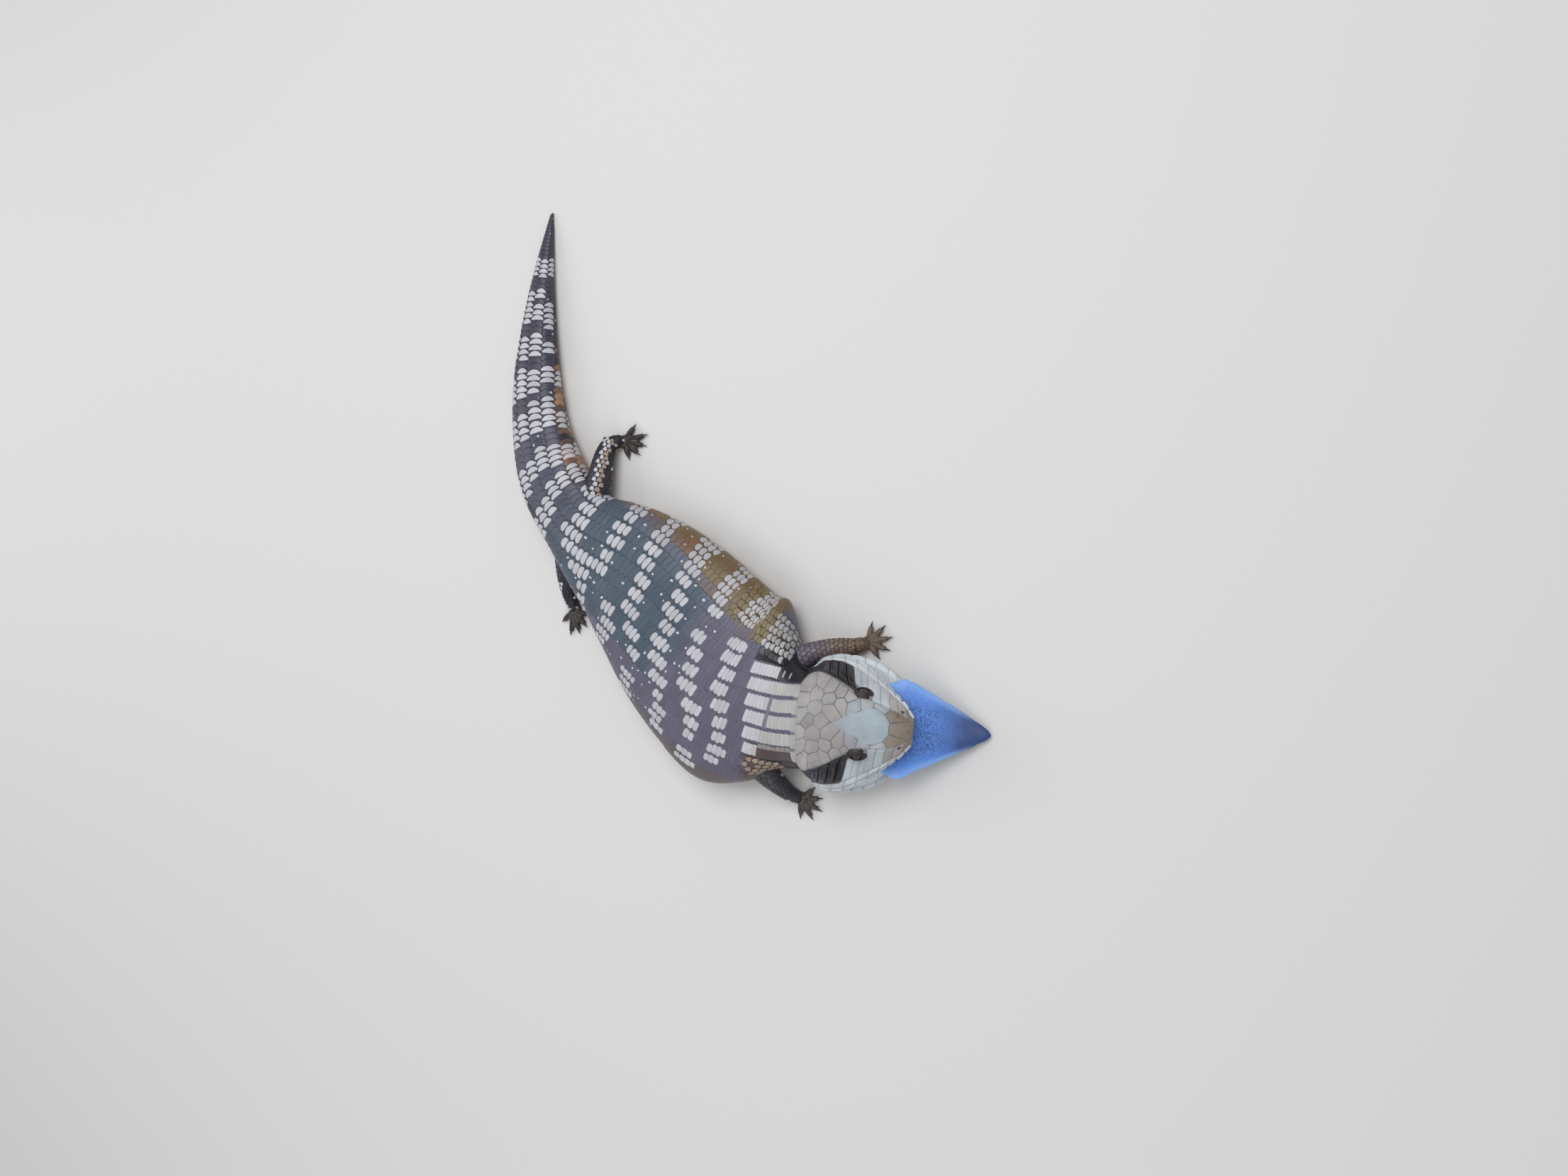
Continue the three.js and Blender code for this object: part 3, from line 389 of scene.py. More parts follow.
def from_head(at, out, up):
    """Point in the part's frame from one in the head's own frame."""
    at, out, up = (np.asarray(value, float) for value in (at, out, up))
    lean = math.radians(LEAN_DEGREES) * eased(at / LEAN_OVER)
    over = up - LEAN_HEIGHT
    across = out * np.cos(lean) + np.maximum(over, 0) * np.sin(lean)
    height = LEAN_HEIGHT + over * np.cos(lean) - out * np.sin(lean)
    x = HEAD_X + math.cos(HEAD_WAY) * at - math.sin(HEAD_WAY) * across
    y = HEAD_Y + math.sin(HEAD_WAY) * at + math.cos(HEAD_WAY) * across
    return np.stack([x, y, height + 0 * x], -1)


def smooth_loop(points, steps):
    """Smooth closed curve through points of shape (count, ..., 2), with so many steps between two."""
    before, after, last = np.roll(points, 1, 0), np.roll(points, -1, 0), np.roll(points, -2, 0)
    t = (np.arange(steps) / steps).reshape(-1, *([1] * (points.ndim - 1)))
    out = []
    for p0, p1, p2, p3 in zip(before, points, after, last):
        curve = 2 * p1 + (p2 - p0) * t + (2 * p0 - 5 * p1 + 4 * p2 - p3) * t**2
        out.append(0.5 * (curve + (3 * p1 - p0 - 3 * p2 + p3) * t**3))
    return np.concatenate(out)


SIDE_STEPS = 24


class HeadSurface:
    """The outside of the skull or jaw, by distance forward and place down the section's outline.

    Down is 0 on the middle line, positive to the left, and goes up by one at each named pair.
    """

    FIRST = -3.0
    LAST = 72.0
    STEP = 0.25

    def __init__(self, rows, pairs, top, bottom, narrowed, tip):
        self.at = np.arange(self.FIRST, self.LAST, self.STEP)
        share = right_share.read("share", self.at)
        ends = [(rows.read(pair + "_out", self.at), rows.read(pair + "_up", self.at)) for pair in pairs]
        left = [np.stack(pair, -1) for pair in ends]
        right = []
        for name, pair in zip(pairs, left):
            sign = -share if name in narrowed else -np.ones_like(share)
            right.append(np.stack([pair[:, 0] * sign, pair[:, 1]], -1))
        middle = [np.stack([0 * self.at, rows.read(name, self.at)], -1) for name in (top, bottom)]
        loop = np.stack([middle[0], *left, middle[1], *right[::-1]])
        outline = smooth_loop(loop, SIDE_STEPS)
        self.reach = len(pairs) + 1
        turn = self.reach * SIDE_STEPS
        # Past the last cross-section the outline draws in to the tip
        last = rows.at[-1]
        size = np.sqrt(np.clip(1 - ((self.at - last) / (tip[0] - last)) ** 2, 0.0004, 1))
        size = np.where(self.at > last, size, 1)[None, :, None]
        outline = (outline - [0, tip[1]]) * size + [0, tip[1]]
        self.outline = np.concatenate([outline[turn:], outline[: turn + 1]])
        self.down = np.linspace(-self.reach, self.reach, 2 * turn + 1)
        grid = from_head(self.at[None, :], self.outline[..., 0], self.outline[..., 1])
        self.grid = grid.transpose(1, 0, 2)
        self.normals = unit(np.cross(np.gradient(self.grid, axis=0), np.gradient(self.grid, axis=1)))

    def sampled(self, grid, at, down):
        """Values between those of a grid, by distance forward and place down."""
        i = np.clip((np.asarray(at) - self.FIRST) / self.STEP, 0, len(self.at) - 1.001)
        j = np.clip((np.asarray(down) + self.reach) * SIDE_STEPS, 0, len(self.down) - 1.001)
        i0, j0 = i.astype(int), j.astype(int)
        fi, fj = (i - i0)[..., None], (j - j0)[..., None]
        low = grid[i0, j0] * (1 - fj) + grid[i0, j0 + 1] * fj
        high = grid[i0 + 1, j0] * (1 - fj) + grid[i0 + 1, j0 + 1] * fj
        return low * (1 - fi) + high * fi

    def lifted(self, at, down, height):
        """Points on the surface, moved outwards by a height."""
        normal = unit(self.sampled(self.normals, at, down))
        return self.sampled(self.grid, at, down) + normal * np.asarray(height)[..., None]

    def down_to(self, at, out):
        """How far down the outline a distance out is reached, for one point."""
        i = int(np.clip(round((at - self.FIRST) / self.STEP), 0, len(self.at) - 1))
        middle = self.reach * SIDE_STEPS
        steps = int(1.9 * SIDE_STEPS)
        side = 1 if out >= 0 else -1
        places = middle + side * np.arange(steps + 1)
        outs = np.maximum.accumulate(self.outline[places, i, 0] * side)
        return side * float(np.interp(abs(out), outs, np.arange(steps + 1) / SIDE_STEPS))


skull_surface = HeadSurface(skull, SKULL_PAIRS, "crown", "palate", ("edge", "temple"), SNOUT_TIP)
jaw_surface = HeadSurface(jaw, JAW_PAIRS, "floor", "keel", (), CHIN_TIP)


class Patch:
    """A part of the animal's outside as a grid of points, laid out flat by distance along and round."""

    def __init__(self, points, along, around):
        self.points = points
        self.along = along
        self.around = around
        self.flat = np.stack([np.broadcast_to(along[:, None], around.shape), around], -1)
        normal = np.cross(np.gradient(points, axis=1), np.gradient(points, axis=0))
        self.normals = normal / np.maximum(np.linalg.norm(normal, axis=-1, keepdims=True), 1e-9)

    def row_at(self, at):
        """The number of the row of points at a distance along."""
        return int(np.clip(np.searchsorted(self.along, at), 0, len(self.along) - 1))


# How far the flat layouts go on past the middle of the underside, on both sides
PAST = 9.0


def body_patch(step=1.5, columns=113):
    """The body and tail as a patch, and the length of half its outline at each row."""
    at = np.append(np.arange(0, BACK_END - 1, step), BACK_END - 0.2)
    turn = np.linspace(0, np.pi, 181)
    points, around, halves = [], [], []
    for here in at:
        section = body_point(np.full_like(turn, here), turn)
        arc = np.r_[0, np.cumsum(np.linalg.norm(np.diff(section, axis=0), axis=1))]
        out = np.linspace(-1, 1, columns) * (arc[-1] + PAST)
        share = (out / arc[-1] + 1) % 2 - 1
        angle = np.interp(np.abs(share) * arc[-1], arc, turn) * np.sign(share)
        points.append(body_point(np.full_like(angle, here), angle))
        around.append(out)
        halves.append(arc[-1])
    return Patch(np.array(points), at, np.array(around)), np.array(halves)


def limb_patch(joints, steps=40, columns=53, past=PAST):
    """A tube as a patch, on a smooth line through joints, each a point and a radius."""
    rows = Rows(("x", "y", "z", "radius"), [(i, *joint) for i, joint in enumerate(joints)])
    t = np.linspace(0, len(joints) - 1, steps)
    place = lambda at: np.stack([rows.read(name, at) for name in "xyz"], -1)
    ahead = unit(place(t + 0.01) - place(t - 0.01))
    side = unit(np.cross(ahead, UP))
    up = np.cross(side, ahead)
    radius = rows.read("radius", t)
    middle = place(t)
    out = np.linspace(-1, 1, columns) * (radius[:, None] * np.pi + past)
    angle = (out / radius[:, None])[..., None]
    round_it = side[:, None] * np.sin(angle) + up[:, None] * np.cos(angle)
    along = np.r_[0, np.cumsum(np.linalg.norm(np.diff(middle, axis=0), axis=1))]
    return Patch(middle[:, None] + radius[:, None, None] * round_it, along, out)


def in_part(joints):
    """Joints of an arm, from the head's own frame without its lean."""
    cosine, sine = math.cos(HEAD_WAY), math.sin(HEAD_WAY)
    return [(HEAD_X + cosine * x - sine * y, HEAD_Y + sine * x + cosine * y, z, r) for x, y, z, r in joints]


LIMBS = {
    "fore_left": in_part(ARM_LEFT),
    "fore_right": in_part(ARM_RIGHT),
    "hind_left": LEG_LEFT,
    "hind_right": LEG_RIGHT,
}


def foot_plan(limb):
    """Joints of a foot's palm and toes, its pad's middle, and the toes' claws."""
    points, (reach, palm_size, toe_radius, toes), mirror = FEET[limb]
    joints = np.array(LIMBS[limb], float)
    ahead = unit(joints[-1, :3] - joints[-2, :3])
    start = joints[-1, :3] - ahead * 3
    radius = joints[-1, 3]

    def way(turn):
        """The way at a turn from the foot's own."""
        angle = math.radians(points + turn * mirror)
        return np.array([math.cos(angle), math.sin(angle), 0])

    wrist = joints[-1, :3] - ahead
    pad = wrist * [1, 1, 0] + way(0) * reach
    middle = wrist + (pad - wrist) * 0.55
    palm = [
        (*start, radius),
        (middle[0], middle[1], wrist[2] * 0.5 + 0.6, radius * 0.9),
        (pad[0], pad[1], 2, radius * 0.55),
    ]
    toe_joints, claws = [], []
    for turn, length in toes:
        tip = 3 + length
        place = lambda distance, z: (*(pad + way(turn) * distance)[:2], z)
        root, knuckle, end = place(0, 2), place(3 + length * 0.45, 2.6), place(tip, 1.45)
        toe_joints.append([(*root, toe_radius * 1.1), (*knuckle, toe_radius), (*end, toe_radius * 0.85)])
        claws.append((np.array(place(tip - 0.6, 1.75)), way(turn)))
    return palm, toe_joints, pad, palm_size, (way(0), way(90)), claws


# Meshes


def tube_faces(rows, columns, looped=False):
    """Quads between rings of points; a looped tube's last ring joins its first."""
    i, j = np.meshgrid(np.arange(rows if looped else rows - 1), np.arange(columns), indexing="ij")
    k, m = (i + 1) % rows, (j + 1) % columns
    quads = np.stack([i * columns + j, i * columns + m, k * columns + m, k * columns + j], -1)
    return quads.reshape(-1, 4).tolist()


def closed_tube(rings, tip=None):
    """Points and faces of a tube with both ends closed by fans, or drawn to a tip at the far end."""
    rows, columns = rings.shape[:2]
    points = rings.reshape(-1, 3)
    ends = np.stack([rings[0].mean(0), rings[-1].mean(0) if tip is None else tip])
    near, far, last = len(points), len(points) + 1, (rows - 1) * columns
    edges = [(a, (a + 1) % columns) for a in range(columns)]
    fans = [[b, a, near] for a, b in edges] + [[last + a, last + b, far] for a, b in edges]
    return np.concatenate([points, ends]), tube_faces(rows, columns) + fans


def joined(parts):
    """Several lots of points and faces as one."""
    points, faces, start = [], [], 0
    for part_points, part_faces in parts:
        points.append(part_points)
        faces += [[index + start for index in face] for face in part_faces]
        start += len(part_points)
    return np.concatenate(points), faces


def linked(name, data):
    """A new object in the scene."""
    thing = bpy.data.objects.new(name, data)
    bpy.context.scene.collection.objects.link(thing)
    return thing


def mesh_object(name, points, faces, material=None):
    """A smooth mesh object from points in millimetres."""
    mesh = bpy.data.meshes.new(name)
    mesh.from_pydata((np.asarray(points) * MM).tolist(), [], faces)
    if material:
        mesh.materials.append(material)
    mesh.shade_smooth()
    mesh.update()
    return linked(name, mesh)


def give_colour(mesh, name, colours):
    """A colour for each point, with colours as rows of red, green and blue."""
    attribute = mesh.attributes.new(name, "FLOAT_COLOR", "POINT")
    full = np.concatenate([colours, np.ones((len(colours), 1))], 1)
    attribute.data.foreach_set("color", full.astype(np.float32).ravel())


def give_vector(mesh, name, vectors):
    """A vector for each point."""
    attribute = mesh.attributes.new(name, "FLOAT_VECTOR", "POINT")
    attribute.data.foreach_set("vector", np.asarray(vectors, np.float32).ravel())


def settled(thing):
    """The object's mesh with its modifiers applied, in a new plain object of the same name."""
    name = thing.name
    evaluated = thing.evaluated_get(bpy.context.evaluated_depsgraph_get())
    mesh = bpy.data.meshes.new_from_object(evaluated)
    old = thing.data
    bpy.data.objects.remove(thing)
    if old.users == 0:
        bpy.data.meshes.remove(old)
    mesh.name = name
    return linked(name, mesh)


# Node trees


def math_method(operation, reflected=False):
    """A method that adds a Math node, with its own value first or, where reflected, second."""

    def method(self, other):
        values = (other, self) if reflected else (self, other)
        return self.sum(operation, *values)

    return method


class Wire:
    """An output socket that adds Math nodes when it is used in an expression."""

    def __init__(self, maker, socket):
        self.maker = maker
        self.socket = socket

    def sum(self, operation, *values):
        """The result of a Math node on some values."""
        return self.maker.add("ShaderNodeMath", {"operation": operation}, dict(enumerate(values)))

    __add__, __radd__ = math_method("ADD"), math_method("ADD", True)
    __sub__, __rsub__ = math_method("SUBTRACT"), math_method("SUBTRACT", True)
    __mul__, __rmul__ = math_method("MULTIPLY"), math_method("MULTIPLY", True)
    __truediv__, __rtruediv__ = math_method("DIVIDE"), math_method("DIVIDE", True)
    __pow__ = math_method("POWER")

    def __abs__(self):
        return self.sum("ABSOLUTE", self)

    def between(self, low, high, start=0.0, end=1.0):
        """Eased from start to end as the value goes from low to high."""
        return self.maker.add(
            "ShaderNodeMapRange",
            {"interpolation_type": "SMOOTHSTEP"},
            {"Value": self, "From Min": low, "From Max": high, "To Min": start, "To Max": end},
            "Result",
        )


class Maker:
    """Adds nodes to one tree."""

    def __init__(self, tree):
        self.tree = tree

    def add(self, kind, settings=None, sockets=None, output=0):
        """A node with its settings set first and then its sockets given values or links.

        Returns one output as a Wire, several outputs as a tuple of Wires, or the node itself.
        """
        node = self.tree.nodes.new(kind)
        for name, value in (settings or {}).items():
            setattr(node, name, value)
        for key, value in (sockets or {}).items():
            if isinstance(value, Wire):
                self.tree.links.new(value.socket, node.inputs[key])
            else:
                node.inputs[key].default_value = value
        if output is None:
            return node
        if isinstance(output, tuple):
            return tuple(Wire(self, node.outputs[name]) for name in output)
        return Wire(self, node.outputs[output])

    def mixed(self, share, first, second, blend="MIX"):
        """A mix of two colours."""
        settings = {"data_type": "RGBA", "blend_type": blend, "clamp_result": False}
        return self.add("ShaderNodeMix", settings, {0: share, 6: first, 7: second}, 2)

    def shaded(self, colour, shade):
        """A colour made darker or lighter by a value."""
        grey = self.add("ShaderNodeCombineColor", None, {0: shade, 1: shade, 2: shade}, "Color")
        return self.mixed(1.0, colour, grey, "MULTIPLY")

    def split(self, vector):
        """The three parts of a vector."""
        return self.add("ShaderNodeSeparateXYZ", None, {0: vector}, ("X", "Y", "Z"))

    def attribute(self, name, output="Vector"):
        """An attribute of the piece."""
        return self.add("ShaderNodeAttribute", {"attribute_name": name}, None, output)

    def place(self):
        """The object's own coordinates."""
        return self.add("ShaderNodeTexCoord", None, None, "Object")

    def noise(self, scale, detail=2.0, rough=0.5):
        """Noise on the object's own coordinates."""
        sockets = {"Vector": self.place(), "Scale": scale, "Detail": detail, "Roughness": rough}
        return self.add("ShaderNodeTexNoise", None, sockets, "Fac")

    def bump(self, height, distance):
        """A normal from a height, with the distance in metres."""
        return self.add("ShaderNodeBump", None, {"Height": height, "Distance": distance}, "Normal")


def new_material(name):
    """An empty material, the maker of its nodes and a function that ends it with a shader."""
    material = bpy.data.materials.new(name)
    material.use_nodes = True
    tree = material.node_tree
    tree.nodes.clear()
    maker = Maker(tree)

    def end(**sockets):
        """The material, with the shader's sockets given by name."""
        names = {key.replace("_", " "): value for key, value in sockets.items()}
        shader = maker.add("ShaderNodeBsdfPrincipled", None, names, "BSDF")
        maker.add("ShaderNodeOutputMaterial", None, {"Surface": shader}, None)
        return material

    return maker, end


def scale_finish(name, gloss):
    """Scales: a ground colour, a pale oval where one is given, and a rim darkened as painted shade."""
    make, end = new_material(name)
    across, along, _ = make.split(make.attribute("local"))
    ground = make.attribute("ground", "Color")
    mark = make.attribute("mark", "Color")
    oval_across, oval_wide, oval_long = make.split(make.attribute("oval"))
    rim, power, _ = make.split(make.attribute("look"))
    grain = make.noise(900.0, 3.0)
    mottle = make.noise(170.0, 3.0, 0.6)
    aside = abs((across - oval_across) / oval_wide) ** power
    ahead = abs((along - SHOWN_MIDDLE) / oval_long) ** power
    edge = (aside + ahead) ** (1 / power) + (mottle - 0.5) * 0.25
    pale = edge.between(0.9, 1.02, 1.0, 0.0)
    colour = make.mixed(pale, ground, mark)
    # Painted shade: each scale's sides and free edge are darkened by its rim value, where the scales meet.
    beside = abs(across).between(0.84, 1.0) * rim.between(0.3, 0.75, 0.3, 1.0)
    painted_rim_shade = 1.0 - (1.0 - beside) * (1.0 - along.between(0.91, 0.99))
    shade = (1.0 - painted_rim_shade * rim) * (0.84 + mottle * 0.2 + grain * 0.14)
    height = make.noise(700.0, 2.0) * 0.5 + grain * 0.5
    rough = gloss + (mottle - 0.5) * 0.2
    return end(Base_Color=make.shaded(colour, shade), Roughness=rough, Normal=make.bump(height, 0.0001))


def shield_finish(name, rough_base, cracks=0.3, rim_dark=0.5):
    """Head shields: a tint that varies, a thin dark seam along parts of the edge, and fine cracks."""
    make, end = new_material(name)
    tint = make.attribute("tint", "Color")
    inward, _, _ = make.split(make.attribute("local"))
    stain = make.noise(110.0, 4.0, 0.6)
    wash = make.noise(45.0, 3.0, 0.5)
    grain = make.noise(800.0, 3.0, 0.6)
    strength = make.noise(60.0, 2.0).between(0.4, 0.62) * rim_dark + 0.12
    rim = 1.0 - (1.0 - inward.between(0.02, 0.13)) * strength
    crack = abs(make.noise(52.0, 3.0, 0.5) - 0.5)
    where = make.noise(35.0, 1.0).between(0.5, 0.62)
    line = 1.0 - (1.0 - crack.between(0.0, 0.007)) * where * cracks
    warm = make.mixed(wash.between(0.42, 0.62), tint, (0.9, 0.84, 0.86, 1), "MULTIPLY")
    shade = rim * (0.72 + stain * 0.5) * (0.94 + grain * 0.12) * line
    height = grain * 0.5 + line * 0.6 + stain * 0.6
    rough = rough_base + (stain - 0.5) * 0.2
    return end(Base_Color=make.shaded(warm, shade), Roughness=rough, Normal=make.bump(height, 0.00012))


def skin_finish(name):
    """Skin between the scales: darker than they are, and finely wrinkled."""
    make, end = new_material(name)
    tint = make.attribute("tint", "Color")
    grain = make.noise(700.0, 3.0, 0.6)
    colour = make.shaded(tint, 0.7 + grain * 0.5)
    return end(Base_Color=colour, Roughness=0.6, Normal=make.bump(grain, 0.0002))


def tongue_finish(name, root, tip):
    """A moist blue tongue: light with dark dots behind, smoother towards its tip, darkened there as painted
    shade and lightened along its sides as a painted highlight.
    """
    make, end = new_material(name)
    along, across, _ = make.split(make.attribute("local"))
    sockets = {"Vector": make.place(), "Scale": 1150.0}
    pimples = make.add("ShaderNodeTexVoronoi", {"feature": "F1"}, sockets, "Distance")
    stain = make.noise(70.0, 4.0, 0.6)
    # Darker towards the tip: painted shade where the tongue bends down past the chin.
    colour = make.mixed((along + (stain - 0.5) * 0.5).between(0.2, 0.8), root, tip)
    # Lighter along the sides: a painted highlight on the tongue's rolled edges.
    edge = abs(across).between(0.72, 1.0) * (1.0 - along.between(0.6, 0.9))
    colour = make.mixed(edge * 0.6, colour, (0.34, 0.58, 1.0, 1))
    middle = (1.0 - abs(across).between(0.45, 0.8)) * (1.0 - along.between(0.35, 0.6))
    dots = pimples.between(0.42, 0.62) * (0.12 + middle * 0.5)
    colour = make.mixed(dots, colour, (0.012, 0.035, 0.14, 1))
    shade = 0.9 + stain * 0.2
    height = (1.0 - pimples) * (0.35 + middle)
    rough = 0.3 + stain * 0.22
    return end(Base_Color=make.shaded(colour, shade), Roughness=rough, Normal=make.bump(height, 0.00018))


def eye_finish(name, iris, pupil):
    """A wet eye: a dark upright pupil in an iris."""
    make, end = new_material(name)
    along, across, _ = make.split(make.attribute("local"))
    spread = ((along * along) * 1.5 + (across * across) * 0.9) ** 0.5
    streak = make.noise(900.0, 3.0)
    share = (spread + (streak - 0.5) * 0.08).between(0.27, 0.36)
    dark_iris = make.mixed(spread.between(0.5, 0.8), iris, pupil)
    colour = make.mixed(share, pupil, dark_iris)
    return end(Base_Color=colour, Roughness=0.08, Coat_Weight=0.6)


def plain_finish(name, colour, rough, gloss=0.0):
    """One colour with a little grain and gloss."""
    make, end = new_material(name)
    grain = make.noise(600.0, 3.0, 0.6)
    shaded = make.shaded(colour, 0.85 + grain * 0.3)
    return end(Base_Color=shaded, Roughness=rough, Coat_Weight=gloss, Normal=make.bump(grain, 0.0001))


# Colours over the animal


def noise_at(places, size, seed):
    """Smooth noise from -1 to 1 at flat places, with bumps of about a given size."""
    places = np.asarray(places, float) / size + seed * 17.3
    base = np.floor(places).astype(int)
    share = eased(places - base)
    total = 0
    for dx in (0, 1):
        for dy in (0, 1):
            x, y = base[..., 0] + dx, base[..., 1] + dy
            value = np.sin(x * 127.1 + y * 311.7 + seed * 74.7) * 43758.5453
            value = (value - np.floor(value)) * 2 - 1
            across = share[..., 0] if dx else 1 - share[..., 0]
            along = share[..., 1] if dy else 1 - share[..., 1]
            total = total + value * across * along
    return total


def blend(first, second, share):
    """Colours mixed by a share for each point."""
    share = np.clip(np.asarray(share, float), 0, 1)[..., None]
    return first * (1 - share) + second * share


def body_ground(at, out, half, colours):
    """Ground colour of the body at distances along it and out from the crest."""
    flat = np.stack([at, out], -1)
    shift = noise_at(flat, 14, 1) * 10
    teal = eased((at + shift * 0.8 - 86) / 22) * eased((39 - np.abs(out - 2) - shift * 0.4) / 8)
    ground = blend(colours["front"], colours["rear"], teal)
    ground = blend(ground, colours["hips"], (at - 190) / 40)
    ground = blend(ground, colours["tail"], (at - 255) / 60)
    patchy = noise_at(flat, 6, 2)
    # The left flank between the pale bars
    left = eased((out - 36 - shift * 0.4) / 8) * eased((at - 36) / 10) * eased((205 - at) / 20)
    olive = blend(colours["olive"], colours["rust"], 0.4 + 0.5 * noise_at(flat, 12, 3))
    ground = blend(ground, olive, left)
    right = eased((-out - 48 - shift * 0.4) / 10) * eased((at - 20) / 20)
    ground = blend(ground, colours["brown"], right * 0.8)
    # Black folds behind the left ear, over the shoulder; on the right a brown neck fold, and below it a
    # painted shadow in the neck's recess
    black = eased((out - 23) / 3) * eased((46 - out + at * 0.2) / 8) * eased((44 - at) / 8)
    ground = blend(ground, colours["black"], black)
    fold = eased((-out - 19) / 3) * eased((30 - at) / 6)
    ground = blend(ground, colours["fold"], fold)
    # Painted shadow: the recess low on the right of the neck is coloured black.
    painted_recess_shadow = eased((-out - 27) / 4) * eased((17 - at) / 5)
    ground = blend(ground, colours["black"], painted_recess_shadow * 0.85)
    # The tail's sides
    side = eased((np.abs(out) - 15) / 6) * eased((at - 222) / 20)
    ground = blend(ground, colours["black"], side * 0.8)
    low = eased((out - 19) / 4) * eased((at - 232) / 12) * eased((350 - at) / 20)
    ground = blend(ground, colours["orange"], low * np.clip(0.55 + patchy, 0, 1))
    # The belly
    belly = eased((np.abs(out) / half - 0.6) / 0.15)
    ground = blend(ground, colours["belly"], belly)
    return ground * (1 + 0.12 * patchy[..., None])


def column_places(at):
    """Columns of scales across the back at one distance: numbers, middles and half widths."""
    width = straight(COLUMN_WIDTH, at)
    number = np.arange(-30, 31)
    flat = (number + straight(COLUMN_SLIP, at)) * width
    real, left, right = (
        np.sign(place) * np.interp(np.abs(place), SPREAD_FLAT, SPREAD_REAL)
        for place in (flat, flat + width / 2, flat - width / 2)
    )
    return number, real, (left - right) / 2


def row_places():
    """Distances along the back of the rows of scales."""
    rows, at = [], 1.0
    while at < BACK_END - 5:
        rows.append(at)
        at += straight(ROW_PITCH, at)
    return rows


def blotch_columns():
    """Each blotch with the number of the column that is nearest to its middle."""
    found = []
    for at, out, half in BLOTCHES:
        number, real, _ = column_places(at)
        found.append((at, int(number[np.argmin(np.abs(real - out))]), half))
    return found


# The coat's node tree: scales stand on points in the flat layout and are laid on the real surface

SCALE_ALONG = (0.0, 0.45, 0.78, 0.93, 1.0)
SCALE_ACROSS = (-1.0, -0.84, -0.46, 0.0, 0.46, 0.84, 1.0)
# Length of a scale as a share of the distance to the next one, and the middle of the part that shows
SCALE_LENGTH = 1.95
SHOWN_MIDDLE = 0.745
# How far a scale's free edge drops, and the height of its underside, as shares of its height
EDGE_DROP = 0.16
UNDERSIDE = -1.3
OVAL_POWER = 2.6
NO_OVAL = (0.0, 1.0, 1.0)


def scale_shape(name, rounding, dome, side_drop):
    """One scale, one unit long and one to each side, rising to its free edge, with a closed underside."""
    rows, columns = len(SCALE_ALONG), len(SCALE_ACROSS)
    points, local = [], []
    for x in SCALE_ALONG:
        for y in SCALE_ACROSS:
            ahead = x * (1 - rounding * abs(y) ** 2.2)
            lift = x - 1.0 + dome * (1 - y * y) * math.sin(math.pi * min(1.0, x * 0.8 + 0.05))
            lift -= side_drop * (abs(y) == 1) + EDGE_DROP * (x == 1)
            points.append((ahead, y, lift))
            local.append((y, x, 1))
    ring = [(0, j) for j in range(columns)]
    ring += [(i, columns - 1) for i in range(1, rows)]
    ring += [(rows - 1, j) for j in range(columns - 2, -1, -1)]
    ring += [(i, 0) for i in range(rows - 2, 0, -1)]
    top = [i * columns + j for i, j in ring]
    start, count = len(points), len(ring)
    for index in top:
        x, y, _ = points[index]
        points.append((x * 0.98, y * 0.97, 0.45 * x + UNDERSIDE))
        local.append((*local[index][:2], 0))
    points.append((0.5, 0, UNDERSIDE))
    local.append((0, 0.5, 0))
    corners = [i * columns + j for i in range(rows - 1) for j in range(columns - 1)]
    faces = [[a, a + columns, a + columns + 1, a + 1] for a in corners]
    for n in range(count):
        m = (n + 1) % count
        faces += [[top[n], top[m], start + m, start + n], [start + n, start + m, start + count]]
    mesh = bpy.data.meshes.new(name)
    mesh.from_pydata(points, [], faces)
    mesh.shade_smooth()
    mesh.update()
    give_vector(mesh, "local", local)
    return linked(name, mesh)


